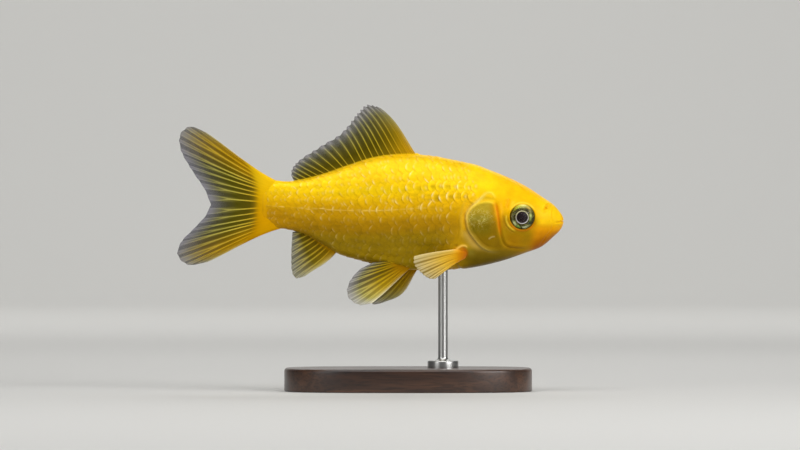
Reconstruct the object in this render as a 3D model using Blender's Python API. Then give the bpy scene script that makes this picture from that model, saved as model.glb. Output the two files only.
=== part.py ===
"""A yellow common goldfish, 100 mm long, as a life-size model held up by a plain display stand.

Sizes are in millimetres until they go into a mesh. The fish is drawn from the tip of its snout: "back" is
the distance behind that tip, "side" the distance from the middle plane, plus on its left, and "up" the
height above the tip. It faces +X, and the origin of the whole is under the middle of the stand's base.
"""

import math

import bmesh
import bpy
import numpy as np
from mathutils import Matrix, Vector

MM = 0.001

# Where the fish is held
SNOUT_X = 40.2  # tip of the snout, ahead of the middle of the base
SNOUT_Z = 44.0  # tip of the snout, above the floor
GAP = 0.3  # left between two pieces that meet
CUTTER_REACH = 40.0  # how far a cutter runs past the fish

# The body, as (back, size) pairs. A smooth line runs through each list.
BODY_LENGTH = 79.3
BACK_LINE = (
    (0, 0), (1, 2.25), (2.5, 3.95), (5.6, 6.15), (10.3, 9.15), (16.5, 12.05), (25.8, 15.15), (37.5, 17.0),
    (43, 17.0), (49, 16.2), (56, 14.05), (63, 11.65), (69.7, 10.2), (74, 10.0), (BODY_LENGTH, 9.0),
)
BELLY_LINE = (
    (0, 0), (1, -2.6), (2.5, -4.05), (5.6, -6.4), (10.3, -8.2), (16.5, -10.3), (25.8, -12.2), (36, -12.8),
    (45, -12.0), (53, -10.1), (58.6, -8.3), (62.5, -5.9), (67, -3.4), (72, -2.1), (BODY_LENGTH, -1.0),
)
HALF_WIDTH = (
    (0, 0), (1, 1.9), (2.5, 3.0), (5.6, 4.2), (10.3, 5.5), (16.5, 6.7), (24, 7.6), (34, 7.9), (45, 7.2),
    (56, 5.3), (66, 3.5), (73, 2.4), (77, 1.6), (BODY_LENGTH, 0.9),
)
WIDEST_SHARE = 0.5  # height of the widest point, as a share of the depth above the belly
FULLNESS = (0.98, 0.10)  # power of the section's sine, and how much narrower the back is than the belly
BODY_RINGS = 40
RING_POINTS = 32

# Lines on the head, as (back, up) pairs
GILL_EDGE = (
    (18.6, 22), (19.2, 10), (20.4, 6.9), (24.0, 3.2), (25.4, 0.4), (24.5, -2.7), (22.6, -6.0), (20.2, -7.9),
    (16.8, -9.4), (14.5, -15),
)
GILL_COVER_SPAN = (2, 7)  # first and last point of the gill edge that the cover reaches
CHEEK_EDGE = ((19.4, -7.5), (17.8, -5.2), (17.0, -1.8), (17.1, 2.0), (18.4, 5.2))
GILL_COVER_THICKNESS = 1.3
GILL_COVER_CLEAR = 1.0  # each cover's cutters stay this far from the middle plane
GILL_CORE_SPAN, GILL_CORE_RINGS = (10, 40), 16  # stretch of body that is left under the covers
MOUTH_LINE = ((-2, 0.35), (2.4, -0.85), (4.6, -3.0), (6.4, -6.0), (7.0, -10))

EYE_BACK, EYE_UP = 10.6, 0.85
EYE_RADIUS = 3.4
EYE_DEPTH = 1.9  # half its thickness through the head
EYE_SINK = 0.75  # how far its middle lies under the cheek
EYE_FORWARD_DEG = 9.0  # turn of its gaze towards the snout

TAIL_CUT = 70.6  # end of the trunk, behind the dorsal and anal fins

# Each fin is a fan of rays from its root line to its margin, both given by a few (back, side, up) points.
# "bow" bends the first rays, as (back, side, up) at their fullest, which is one third of the way out for each
# "bow_power", and "crowd" above 1 draws the ray tips together near the first ray. The roots lie inside the
# body, which then trims them.
FINS = {
    "dorsal_fin": {
        "root": ((36.8, 0, 15.2), (44, 0, 15.2), (56, 0, 12.2), (68.4, 0, 8.6)),
        "margin": ((47.9, 0, 29.5), (50.9, 0, 30.0), (53.4, 0, 27.6), (57.4, 0, 22.7), (63, 0, 19.1),
                   (67.8, 0, 16.0), (70.5, 0, 11.6)),
        "rays": 15, "rows": 5, "bow": (-0.9, 0, 0.5), "crowd": 1.25,
    },
    "anal_fin": {
        "root": ((57.9, 0, -7.1), (62.6, 0, -4.6), (66.8, 0, -2.4)),
        "margin": ((66.9, 0, -14.5), (69.3, 0, -14.9), (70.3, 0, -12.8), (70.4, 0, -8), (70.1, 0, -3.0)),
        "rays": 8, "rows": 4, "bow": (0, 0, -0.6), "crowd": 1.0,
    },
    "tail_fin_upper": {
        "root": ((71.5, 0, 9.2), (76.6, 0, 7.4), (78.4, 0, 4.3)),
        "margin": ((92.6, 0, 22.9), (96.6, 0, 24.3), (99.2, 0, 22.1), (98.9, 0, 18.0), (96.0, 0, 12.8),
                   (92.9, 0, 8.2), (91.3, 0, 4.25)),
        "rays": 10, "rows": 5, "bow": (0.2, 0, -1.1), "crowd": 1.0, "bow_power": 1,
    },
    "tail_fin_lower": {
        "root": ((71.5, 0, -1.75), (76.6, 0, 0.6), (78.4, 0, 3.8)),
        "margin": ((92.3, 0, -10.85), (97.0, 0, -11.5), (99.8, 0, -9.0), (98.9, 0, -5.6), (95.5, 0, -2.0),
                   (92.6, 0, 1.2), (91.3, 0, 3.95)),
        "rays": 10, "rows": 5, "bow": (0.2, 0, 0.7), "crowd": 1.0, "bow_power": 1,
    },
    "pelvic_fin_right": {
        "root": ((38.9, -1.6, -11.7), (42.6, -2.3, -10.2)),
        "margin": ((49.6, -7.0, -21.3), (53.0, -7.4, -21.7), (55.7, -7.2, -19.6), (55.6, -6.6, -16.4),
                   (53.0, -5.6, -12.9), (49.4, -4.6, -10.9)),
        "rays": 8, "rows": 4, "bow": (0.3, 0, -0.6), "crowd": 1.0,
    },
    "pelvic_fin_left": {
        "root": ((37.6, 1.5, -11.7), (41.6, 2.3, -10.3)),
        "margin": ((44.8, 7.0, -20.5), (49.0, 8.0, -21.8), (51.8, 8.0, -20.0), (52.6, 7.4, -17.2),
                   (51.2, 6.4, -14.2), (48.6, 5.4, -11.8)),
        "rays": 8, "rows": 4, "bow": (-0.6, 0.3, -0.6), "crowd": 1.0,
    },
    "pectoral_fin_right": {
        "root": ((24.6, -4.9, -6.9), (26.4, -4.1, -9.8)),
        "margin": ((38.8, -12.6, -9.2), (38.6, -12.8, -11.4), (36.6, -12.4, -13.7), (34.8, -11.6, -14.9),
                   (33.2, -10.9, -15.0)),
        "rays": 8, "rows": 4, "bow": (0, -0.9, 0.2), "crowd": 1.0,
    },
}
FINS["pectoral_fin_left"] = {
    "root": tuple((back, -side, up) for back, side, up in FINS["pectoral_fin_right"]["root"]),
    "margin": tuple((back, -side, up) for back, side, up in FINS["pectoral_fin_right"]["margin"]),
    "rays": 8, "rows": 4, "bow": (0, 0.9, 0.2), "crowd": 1.0,
}
FIN_ROOT, FIN_MARGIN = 1.1, 0.6  # thickness over a ray
FIN_WEB_SHARE = 0.85  # thickness of the skin between rays, as a share of that
FIN_CLEARANCE_SPAN, FIN_CLEARANCE_RINGS = (20, BODY_LENGTH + GAP), 34  # stretch of body that trims them

# The stand
BASE_LENGTH, BASE_WIDTH, BASE_HEIGHT = 64.0, 40.0, 6.0
BASE_CORNER_POWER = 2.8  # 2 is an ellipse, and more is squarer
BASE_BEVEL = 0.8
ROD_X = 9.0
ROD_RADIUS = 1.25
ROD_FOOT_RADIUS, ROD_FOOT_HEIGHT, ROD_FOOT_EDGE = 4.0, 1.6, 0.4
ROD_IN_BASE, ROD_IN_BELLY = 3.5, 5.0


def through(points, at):
    """Value at each distance of the smooth line through (distance, value) points.

    It runs on the root of the distance, which rounds the line off where it starts at the snout.
    """
    knots, values = np.array(points, float).T
    knots = np.sqrt(knots)
    at = np.sqrt(np.clip(at, 0, None))
    slopes = np.gradient(values, knots)
    i = np.clip(np.searchsorted(knots, at) - 1, 0, len(knots) - 2)
    step = knots[i + 1] - knots[i]
    t = (at - knots[i]) / step
    start, end = values[i], values[i + 1]
    bend = step * (slopes[i] * (1 - t) - slopes[i + 1] * t)
    return start + (end - start) * t * t * (3 - 2 * t) + bend * t * (1 - t)


def smooth_path(points, count):
    """count points, evenly spread along the smooth path through a few points."""
    points = np.array(points, float)
    knots = np.arange(len(points), dtype=float)
    slopes = np.gradient(points, axis=0)
    fine = np.linspace(0, len(points) - 1, 200)
    i = np.minimum(fine.astype(int), len(points) - 2)
    t = (fine - knots[i])[:, None]
    bend = slopes[i] * (1 - t) - slopes[i + 1] * t
    path = points[i] + (points[i + 1] - points[i]) * t * t * (3 - 2 * t) + bend * t * (1 - t)
    run = np.concatenate([[0], np.cumsum(np.linalg.norm(np.diff(path, axis=0), axis=1))])
    wanted = np.linspace(0, run[-1], count)
    return np.stack([np.interp(wanted, run, column) for column in path.T], axis=1)


def place(back, side, up):
    """A point of the fish, in metres from the tip of its snout."""
    return Vector((-back * MM, side * MM, up * MM))


def section(back, grow=0.0):
    """Top, bottom, half width and height of the widest point of the body, grown by a skin of that depth."""
    top = through(BACK_LINE, back) + grow
    bottom = through(BELLY_LINE, back) - grow
    return top, bottom, through(HALF_WIDTH, back) + grow, bottom + (top - bottom) * WIDEST_SHARE


def half_width_at(back, up):
    """How far the body's surface is from the middle plane at that height."""
    top, bottom, width, middle = section(back)
    reach = (up - middle) / (top - middle if up > middle else middle - bottom)
    reach = min(max(reach, -1), 1)
    return width * math.sqrt(1 - reach * reach) ** (FULLNESS[0] + FULLNESS[1] * reach)


def material(name, colour, roughness, metallic=0.0):
    """A Principled material of one plain finish."""
    made = bpy.data.materials.new(name)
    made.use_nodes = True
    shader = made.node_tree.nodes["Principled BSDF"]
    shader.inputs["Base Color"].default_value = (*colour, 1)
    shader.inputs["Roughness"].default_value = roughness
    shader.inputs["Metallic"].default_value = metallic
    return made


def add_object(name, bm, finish, parent=None):
    """An object from a bmesh, facing out, which it frees."""
    bmesh.ops.recalc_face_normals(bm, faces=bm.faces)
    mesh = bpy.data.meshes.new(name)
    bm.to_mesh(mesh)
    bm.free()
    made = bpy.data.objects.new(name, mesh)
    made.data.materials.append(finish)
    made.parent = parent
    bpy.context.scene.collection.objects.link(made)
    return made


def as_cutter(made):
    """Keeps an object that only cuts others out of the model."""
    made.hide_render = True
    made.display_type = "WIRE"
    return made


def boolean(made, operation, *others):
    """Adds one Boolean modifier for each of the other objects."""
    for other in others:
        modifier = made.modifiers.new(f"{operation.lower()}_{other.name}", "BOOLEAN")
        modifier.operation = operation
        modifier.solver = "EXACT"
        modifier.object = other


def body_mesh(first=0.0, last=BODY_LENGTH, grow=0.0, rings=BODY_RINGS):
    """The body as rings of points from one distance to another, joined by faces and closed at both ends."""
    bm = bmesh.new()
    previous = None
    for back in np.linspace(math.sqrt(first), math.sqrt(last), rings) ** 2:
        top, bottom, width, middle = section(back, grow)
        ring = []
        for angle in np.linspace(0, 2 * math.pi, RING_POINTS, endpoint=False):
            across, along = math.sin(angle), math.cos(angle)
            power = FULLNESS[0] + FULLNESS[1] * along
            side = width * math.copysign(abs(across) ** power, across)
            up = middle + along * (top - middle if along > 0 else middle - bottom)
            ring.append(bm.verts.new(place(back, side, up)))
        if previous:
            for k in range(RING_POINTS):
                after = (k + 1) % RING_POINTS
                bm.faces.new((previous[k], previous[after], ring[after], ring[k]))
        elif first == 0:
            start = ring
        else:
            bm.faces.new(ring)
        previous = ring
    bm.faces.new(previous)
    if first == 0:  # the first ring is a point, at the tip of the snout
        bmesh.ops.pointmerge(bm, verts=start, merge_co=place(0, 0, 0))
    return bm


def prism(name, outline, parent, finish, low=-CUTTER_REACH, high=CUTTER_REACH):
    """An outline of (back, up) points, extruded across the fish from one side distance to another."""
    bm = bmesh.new()
    face = bm.faces.new([bm.verts.new(place(back, low, up)) for back, up in outline])
    extruded = bmesh.ops.extrude_face_region(bm, geom=[face])
    moved = [v for v in extruded["geom"] if isinstance(v, bmesh.types.BMVert)]
    bmesh.ops.translate(bm, verts=moved, vec=(0, (high - low) * MM, 0))
    return add_object(name, bm, finish, parent)


def grown(outline, by):
    """A closed outline with every point moved outwards by a distance."""
    outline = np.array(outline, float)
    along = np.roll(outline, -1, axis=0) - np.roll(outline, 1, axis=0)
    out = np.stack([along[:, 1], -along[:, 0]], axis=1)
    out /= np.linalg.norm(out, axis=1, keepdims=True)
    middle = outline.mean(axis=0)
    out *= np.sign(((outline - middle) * out).sum())
    return outline + out * by


def box_outline(start, end):
    """A tall box outline between two distances behind the snout."""
    return [(start, -CUTTER_REACH), (end, -CUTTER_REACH), (end, CUTTER_REACH), (start, CUTTER_REACH)]


def add_flesh(fish, skin):
    """Head, lower jaw, trunk and tail stalk: one whole body, parted by thin cuts."""
    ahead, behind = -CUTTER_REACH, BODY_LENGTH + CUTTER_REACH
    gill_edge = smooth_path(GILL_EDGE, 24)
    jaw_line = smooth_path(MOUTH_LINE, 12)
    corner = (MOUTH_LINE[0][0], MOUTH_LINE[-1][1])
    outlines = {
        "behind_gill": [*gill_edge, (behind, ahead), (behind, CUTTER_REACH)],
        "before_gill": [*(gill_edge + (GAP, 0)), (ahead, ahead), (ahead, CUTTER_REACH)],
        "behind_tail_cut": box_outline(TAIL_CUT, behind),
        "before_tail_cut": box_outline(TAIL_CUT + GAP, ahead),
        "jaw_place": [*jaw_line, corner],
        "jaw_room": [*(jaw_line + (GAP, GAP)), corner],
    }
    cutters = {name: as_cutter(prism(name, outline, fish, skin)) for name, outline in outlines.items()}
    made = {}
    for name, operation, names in (
        ("head", "DIFFERENCE", ("behind_gill", "jaw_room")),
        ("lower_jaw", "INTERSECT", ("jaw_place",)),
        ("trunk", "DIFFERENCE", ("before_gill", "behind_tail_cut")),
        ("tail_stalk", "DIFFERENCE", ("before_tail_cut",)),
    ):
        made[name] = add_object(name, body_mesh(), skin, fish)
        boolean(made[name], operation, *(cutters[cutter] for cutter in names))
    return made["head"], made["trunk"]


def add_gill_covers(fish, head, skin):
    """Both gill covers: plates of the body's own surface, each lying in a pocket of the head."""
    first, last = GILL_COVER_SPAN
    outline = [*smooth_path(GILL_EDGE[first:last + 1], 12), *smooth_path(CHEEK_EDGE, 8)]
    whole = as_cutter(add_object("whole_body", body_mesh(), skin, fish))
    under_cover, under_pocket = (
        as_cutter(add_object(name, body_mesh(*GILL_CORE_SPAN, -depth, GILL_CORE_RINGS), skin, fish))
        for name, depth in (
            ("under_cover", GILL_COVER_THICKNESS), ("under_pocket", GILL_COVER_THICKNESS + GAP),
        )
    )
    for label, low, high in (
        ("right", -CUTTER_REACH, -GILL_COVER_CLEAR), ("left", GILL_COVER_CLEAR, CUTTER_REACH),
    ):
        cover = prism(f"gill_cover_{label}", outline, fish, skin, low, high)
        boolean(cover, "INTERSECT", whole)
        boolean(cover, "DIFFERENCE", under_cover)
        pocket = as_cutter(prism(f"gill_pocket_{label}", grown(outline, GAP), fish, skin, low, high))
        boolean(pocket, "DIFFERENCE", under_pocket)
        boolean(head, "DIFFERENCE", pocket)


def eye_mesh(grow=0.0):
    """A flattened ball, its short axis along the gaze."""
    bm = bmesh.new()
    bmesh.ops.create_uvsphere(bm, u_segments=18, v_segments=10, radius=1)
    wide, deep = (EYE_RADIUS + grow) * MM, (EYE_DEPTH + grow) * MM
    bmesh.ops.scale(bm, vec=(wide, wide, deep), verts=bm.verts)
    bmesh.ops.rotate(bm, matrix=Matrix.Rotation(math.pi / 2, 3, "X"), verts=bm.verts)
    return bm


def add_eyes(fish, head, finish):
    """Both eyes, each in a socket of the head."""
    for label, hand in (("right", -1), ("left", 1)):
        side = hand * (half_width_at(EYE_BACK, EYE_UP) - EYE_SINK)
        socket = as_cutter(add_object(f"eye_socket_{label}", eye_mesh(GAP), finish, fish))
        eye = add_object(f"eye_{label}", eye_mesh(), finish, fish)
        for made in (socket, eye):
            made.location = place(EYE_BACK, side, EYE_UP)
            made.rotation_euler.z = -hand * math.radians(EYE_FORWARD_DEG)
        boolean(head, "DIFFERENCE", socket)


def fin_grid(root, margin, rays, rows, bow, crowd, bow_power=2):
    """Points of a fin, as [ray or web, row from root to margin], in (back, side, up)."""
    columns = 2 * rays - 1
    share = np.linspace(0, 1, columns)
    roots = smooth_path(root, columns)
    fine = smooth_path(margin, 200)
    tips = np.stack([np.interp(share ** crowd, np.linspace(0, 1, 200), column) for column in fine.T], axis=1)
    reach = np.linspace(0, 1, rows + 1)
    points = roots[:, None] + (tips - roots)[:, None] * reach[None, :, None]
    fullest_at = bow_power / 3
    bend = (reach / fullest_at) ** bow_power * ((1 - reach) / (1 - fullest_at)) ** (3 - bow_power)
    fade = (1 - share) ** 2
    return points + fade[:, None, None] * bend[None, :, None] * np.array(bow)


def add_fin(name, finish, fish, clearance):
    """A fin: a thin fan, thicker at the root and over each ray, trimmed where it meets the body."""
    grid = fin_grid(**FINS[name])
    columns, rows = grid.shape[:2]
    bm = bmesh.new()
    verts = [[bm.verts.new(place(*point)) for point in column] for column in grid]
    for i in range(columns - 1):
        for j in range(rows - 1):
            bm.faces.new((verts[i][j], verts[i + 1][j], verts[i + 1][j + 1], verts[i][j + 1]))
    fin = add_object(name, bm, finish, fish)
    thickness = fin.vertex_groups.new(name="thickness")
    for i in range(columns):
        over_ray = 1 if i % 2 == 0 else FIN_WEB_SHARE
        for j in range(rows):
            wanted = FIN_ROOT + (FIN_MARGIN - FIN_ROOT) * j / (rows - 1)
            thickness.add([i * rows + j], wanted * over_ray / FIN_ROOT, "REPLACE")
    solidify = fin.modifiers.new("thickness", "SOLIDIFY")
    solidify.thickness = FIN_ROOT * MM
    solidify.offset = 0
    solidify.vertex_group = thickness.name
    boolean(fin, "DIFFERENCE", clearance)
    return fin


def add_base(finish):
    """The base: a flat plate with an outline between an oval and a rectangle, its edges broken."""
    bm = bmesh.new()
    ring = []
    for angle in np.linspace(0, 2 * math.pi, 40, endpoint=False):
        x, y = math.cos(angle), math.sin(angle)
        power = 2 / BASE_CORNER_POWER
        ring.append(bm.verts.new((
            BASE_LENGTH / 2 * MM * math.copysign(abs(x) ** power, x),
            BASE_WIDTH / 2 * MM * math.copysign(abs(y) ** power, y),
            0,
        )))
    face = bm.faces.new(ring)
    extruded = bmesh.ops.extrude_face_region(bm, geom=[face])
    moved = [v for v in extruded["geom"] if isinstance(v, bmesh.types.BMVert)]
    bmesh.ops.translate(bm, verts=moved, vec=(0, 0, BASE_HEIGHT * MM))
    base = add_object("stand_base", bm, finish)
    bevel = base.modifiers.new("edges", "BEVEL")
    bevel.width = BASE_BEVEL * MM
    bevel.segments = 2
    bevel.limit_method = "ANGLE"
    bevel.angle_limit = math.radians(60)
    return base


def turned(name, profile, finish, sides=24):
    """A round piece standing on +Z at the rod's place, spun from a (radius, height) profile."""
    bm = bmesh.new()
    points = [bm.verts.new((radius * MM, 0, height * MM)) for radius, height in profile]
    edges = [bm.edges.new(pair) for pair in zip(points, points[1:])]
    bmesh.ops.spin(
        bm, geom=points + edges, cent=(0, 0, 0), axis=(0, 0, 1), angle=2 * math.pi, steps=sides,
        use_merge=True,
    )
    bmesh.ops.remove_doubles(bm, verts=bm.verts, dist=1e-6)
    made = add_object(name, bm, finish)
    made.location = (ROD_X * MM, 0, 0)
    return made


def add_rod(finish, base, trunk):
    """The rod, with a flat foot over the base. One end sits in the base and the other in the belly."""
    belly = SNOUT_Z + float(through(BELLY_LINE, SNOUT_X - ROD_X))
    low, high = BASE_HEIGHT - ROD_IN_BASE, belly + ROD_IN_BELLY
    foot_low = BASE_HEIGHT + GAP
    foot_high = foot_low + ROD_FOOT_HEIGHT
    turned("stand_rod", (
        (0, low), (ROD_RADIUS, low), (ROD_RADIUS, foot_low), (ROD_FOOT_RADIUS, foot_low),
        (ROD_FOOT_RADIUS, foot_high - ROD_FOOT_EDGE), (ROD_FOOT_RADIUS - ROD_FOOT_EDGE, foot_high),
        (ROD_RADIUS, foot_high),
        (ROD_RADIUS, high), (0, high),
    ), finish)
    radius = ROD_RADIUS + GAP
    for holder, start, end in (
        (base, low - GAP, BASE_HEIGHT + ROD_FOOT_HEIGHT), (trunk, belly - ROD_IN_BELLY, high + GAP),
    ):
        profile = ((0, start), (radius, start), (radius, end), (0, end))
        hole = as_cutter(turned(f"rod_hole_{holder.name}", profile, finish))
        boolean(holder, "DIFFERENCE", hole)


def main():
    for old in list(bpy.data.objects):
        bpy.data.objects.remove(old)
    skin = material("yellow_skin", (0.86, 0.53, 0.02), 0.38)
    gill_skin = material("gill_cover_skin", (0.50, 0.40, 0.05), 0.35)
    fin_skin = material("fin_skin", (0.75, 0.60, 0.12), 0.4)
    eye = material("eye", (0.03, 0.03, 0.02), 0.08)
    wood = material("dark_wood", (0.10, 0.055, 0.03), 0.45)
    steel = material("steel", (0.55, 0.55, 0.56), 0.3, 1.0)

    fish = bpy.data.objects.new("goldfish", None)
    fish.location = (SNOUT_X * MM, 0, SNOUT_Z * MM)
    bpy.context.scene.collection.objects.link(fish)

    head, trunk = add_flesh(fish, skin)
    add_gill_covers(fish, head, gill_skin)
    add_eyes(fish, head, eye)
    near_fins = body_mesh(*FIN_CLEARANCE_SPAN, GAP, FIN_CLEARANCE_RINGS)
    clearance = as_cutter(add_object("fin_clearance", near_fins, skin, fish))
    for name in FINS:
        add_fin(name, fin_skin, fish, clearance)
    add_rod(steel, add_base(wood), trunk)


main()
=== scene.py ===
# A yellow common goldfish on a display stand, dressed over its solid model.
# Distances along the fish are in millimetres: "back" is behind the tip of the snout, "up" is above it, and
# "side" is away from the middle plane, plus on the fish's own left. Rows of scales and rays of fins are
# counted from the lateral line and from the leading edge.

import math

import bpy
import numpy as np
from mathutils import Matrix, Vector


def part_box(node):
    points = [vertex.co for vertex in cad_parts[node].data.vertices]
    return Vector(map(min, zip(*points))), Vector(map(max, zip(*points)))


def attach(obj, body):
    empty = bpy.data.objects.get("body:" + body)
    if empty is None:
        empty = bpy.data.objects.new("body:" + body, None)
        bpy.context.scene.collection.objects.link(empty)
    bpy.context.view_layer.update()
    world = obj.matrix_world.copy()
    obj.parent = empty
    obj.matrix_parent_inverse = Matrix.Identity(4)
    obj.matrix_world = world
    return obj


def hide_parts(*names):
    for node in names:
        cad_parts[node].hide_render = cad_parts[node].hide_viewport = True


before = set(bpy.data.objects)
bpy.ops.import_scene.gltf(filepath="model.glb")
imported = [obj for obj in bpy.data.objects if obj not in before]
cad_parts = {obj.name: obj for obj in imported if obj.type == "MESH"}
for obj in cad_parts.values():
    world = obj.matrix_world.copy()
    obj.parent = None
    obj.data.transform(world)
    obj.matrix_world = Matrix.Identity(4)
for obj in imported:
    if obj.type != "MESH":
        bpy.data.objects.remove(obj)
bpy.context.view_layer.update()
print("frame: loaded with", len(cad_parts), "nodes")

# Shared tools.

body = {
    "length": 79.3,
    "backLine": ((0, 0), (1, 2.25), (2.5, 3.95), (5.6, 6.15), (10.3, 9.15), (16.5, 12.05), (25.8, 15.15),
                 (37.5, 17.0), (43, 17.0), (49, 16.2), (56, 14.05), (63, 11.65), (69.7, 10.2), (74, 10.0),
                 (79.3, 9.0)),
    "bellyLine": ((0, 0), (1, -2.6), (2.5, -4.05), (5.6, -6.4), (10.3, -8.2), (16.5, -10.3), (25.8, -12.2),
                  (36, -12.8), (45, -12.0), (53, -10.1), (58.6, -8.3), (62.5, -5.9), (67, -3.4), (72, -2.1),
                  (79.3, -1.0)),
    "halfWidth": ((0, 0), (1, 1.9), (2.5, 3.0), (5.6, 4.2), (10.3, 5.5), (16.5, 6.7), (24, 7.6), (34, 7.9),
                  (45, 7.2), (56, 5.3), (66, 3.5), (73, 2.4), (77, 1.6), (79.3, 0.9)),
    "widest": 0.5,  # height of the widest point, as a share of the depth
    "fullness": (0.98, 0.10),  # power of the section's sine, and how much narrower the back is
    "coatDepth": 0.28,  # how far the skin lies under the solids where scales cover it
}
pathSamples = 400  # points on a smooth path

# The frame gives the place of the snout's tip and the length that one drawn millimetre has.
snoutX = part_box("head")[1].x
unit = (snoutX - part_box("tail_stalk")[0].x) / body["length"]
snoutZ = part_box("trunk")[1].z - max(height for back, height in body["backLine"]) * unit


# The cubic from one knot to the next, with slopes from both neighbours, at a share of the way.
def cubic(values, slopes, i, t, step=1):
    bend = step * (slopes[i] * (1 - t) - slopes[i + 1] * t)
    return values[i] + (values[i + 1] - values[i]) * t * t * (3 - 2 * t) + bend * t * (1 - t)


# A point on the smooth line through (distance, value) points: the cubic, run on the root of the distance,
# which rounds it off where it starts at the snout.
def smoothLine(points, at):
    knots, values = np.array(points, float).T
    knots = np.sqrt(knots)
    at = np.sqrt(np.clip(at, 0, None))
    i = np.clip(np.searchsorted(knots, at) - 1, 0, len(knots) - 2)
    step = knots[i + 1] - knots[i]
    return cubic(values, np.gradient(values, knots), i, (at - knots[i]) / step, step)


# Each column of a table, read straight between its knots.
def readTable(places, knots, table):
    return np.stack([np.interp(places, knots, column) for column in table.T], axis=-1)


# Evenly spread points on the smooth path through a few points, by the same cubic.
def smoothPath(points, count):
    points = np.array(points, float)
    fine = np.linspace(0, len(points) - 1, pathSamples)
    i = np.minimum(fine.astype(int), len(points) - 2)
    path = cubic(points, np.gradient(points, axis=0), i, (fine - i)[:, None])
    run = np.concatenate([[0], np.cumsum(np.linalg.norm(np.diff(path, axis=0), axis=1))])
    return readTable(np.linspace(0, run[-1], count), run, path)


# 0 below the first value, 1 above the second, and an S-curve between them.
def ramp(low, high, x):
    t = np.clip((x - low) / (high - low), 0, 1)
    return t * t * (3 - 2 * t)


# A bell of height 1 around a middle.
def bell(x, middle, width):
    return np.exp(-((x - middle) / width) ** 2)


# A quarter round: 0 at an edge and 1 from some distance inside it.
def quarterRound(inside, radius):
    return np.sqrt(1 - (1 - np.clip(inside / radius, 0, 1)) ** 2)


# Signed distance from points to a path, plus on the path's left as it is walked, and the share of the path
# at the nearest place: the smallest of the distances to its straight pieces.
def awayFrom(path, back, up):
    start, step = path[:-1], np.diff(path, axis=0)
    gapX = back[..., None] - start[:, 0]
    gapY = up[..., None] - start[:, 1]
    along = np.clip((gapX * step[:, 0] + gapY * step[:, 1]) / (step ** 2).sum(1), 0, 1)
    gapX = gapX - along * step[:, 0]
    gapY = gapY - along * step[:, 1]
    squared = gapX ** 2 + gapY ** 2
    nearest = squared.argmin(-1)[..., None]
    turn, squared, along = (np.take_along_axis(field, nearest, -1)[..., 0] for field in (
        step[:, 0] * gapY - step[:, 1] * gapX, squared, along))
    return np.sqrt(squared) * np.where(turn < 0, -1, 1), (nearest[..., 0] + along) / len(step)


# An sRGB hex colour as linear light.
def linear(hexColour):
    value = np.array([int(hexColour[k:k + 2], 16) / 255 for k in (1, 3, 5)])
    return np.where(value <= 0.04045, value / 12.92, ((value + 0.055) / 1.055) ** 2.4)


# The colour at each value of a field, straight between (value, hex colour) stops.
def colourRun(field, stops):
    levels, hexColours = zip(*stops)
    return readTable(field, levels, np.array([linear(hexColour) for hexColour in hexColours]))


# A colour field moved towards another colour, or field of colours, by a weight at each point.
def blendTo(colour, other, weight):
    weight = np.clip(weight, 0, 1)[..., None]
    return colour * (1 - weight) + other * weight


# The same towards hex colours, one after another, from (hex colour, weight) pairs.
def wash(colour, *washes):
    for hexColour, weight in washes:
        colour = blendTo(colour, linear(hexColour), weight)
    return colour


# Fish millimetres to metres in the frame.
def toWorld(back, side, up):
    return np.stack([snoutX - back * unit, side * unit, snoutZ + up * unit], -1)


# Top, bottom, half width and height of the widest point of the body at a distance.
def section(back):
    top, bottom, width = (smoothLine(body[line], back) for line in ("backLine", "bellyLine", "halfWidth"))
    return top, bottom, width, bottom + (top - bottom) * body["widest"]


# A point of the body's surface: an oval section, whose sine is raised to a power that grows towards the
# back. Angle 0 is the back and a quarter turn the left side.
def bodyPoint(back, angle):
    top, bottom, width, middle = section(back)
    across, along = np.sin(angle), np.cos(angle)
    power = body["fullness"][0] + body["fullness"][1] * along
    side = width * np.sign(across) * np.abs(across) ** power
    up = middle + along * np.where(along > 0, top - middle, middle - bottom)
    return np.stack([back + 0 * angle, side, up], -1)


# Vectors drawn to a length of 1.
def unitVectors(vectors):
    return vectors / np.maximum(np.linalg.norm(vectors, axis=-1, keepdims=True), 1e-9)


# The body's outward direction: the cross product of the slopes along the fish and round it.
def bodyNormal(back, angle, step=0.004):
    root = np.maximum(np.sqrt(back), 0.05)
    alongFish = bodyPoint((root + step) ** 2, angle) - bodyPoint((root - step) ** 2, angle)
    roundFish = bodyPoint(root ** 2, angle + step) - bodyPoint(root ** 2, angle - step)
    normal = unitVectors(np.cross(roundFish, alongFish))
    outward = bodyPoint(root ** 2, angle)
    middle = section(root ** 2)[3]
    facing = normal[..., 1] * outward[..., 1] + normal[..., 2] * (outward[..., 2] - middle)
    return normal * np.where(facing < 0, -1, 1)[..., None]


# Adds a mesh object from points in metres and faces, with smooth shading up to a sharp angle.
def addMesh(name, points, faces, material, sharp=40, colours=None):
    mesh = bpy.data.meshes.new(name)
    mesh.from_pydata(np.asarray(points, float).reshape(-1, 3), [], faces)
    if colours is not None:
        attribute = mesh.color_attributes.new("tint", "FLOAT_COLOR", "POINT")
        flat = np.ones((len(mesh.vertices), 4), np.float32)
        flat[:, :colours.shape[-1]] = colours.reshape(-1, colours.shape[-1])
        attribute.data.foreach_set("color", flat.ravel())
    mesh.shade_smooth()
    mesh.set_sharp_from_angle(angle=math.radians(sharp))
    mesh.materials.append(material)
    mesh.validate()
    piece = bpy.data.objects.new(name, mesh)
    bpy.context.scene.collection.objects.link(piece)
    return piece


# Gives a coat piece its own map, OFBake, from one (u, v) pair for each point.
def addCoatMap(piece, pairs):
    mesh = piece.data
    layer = mesh.uv_layers.new(name="OFBake")
    corners = np.empty(len(mesh.loops), np.int32)
    mesh.loops.foreach_get("vertex_index", corners)
    layer.data.foreach_set("uv", pairs.reshape(-1, 2)[corners].astype(np.float32).ravel())


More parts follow.
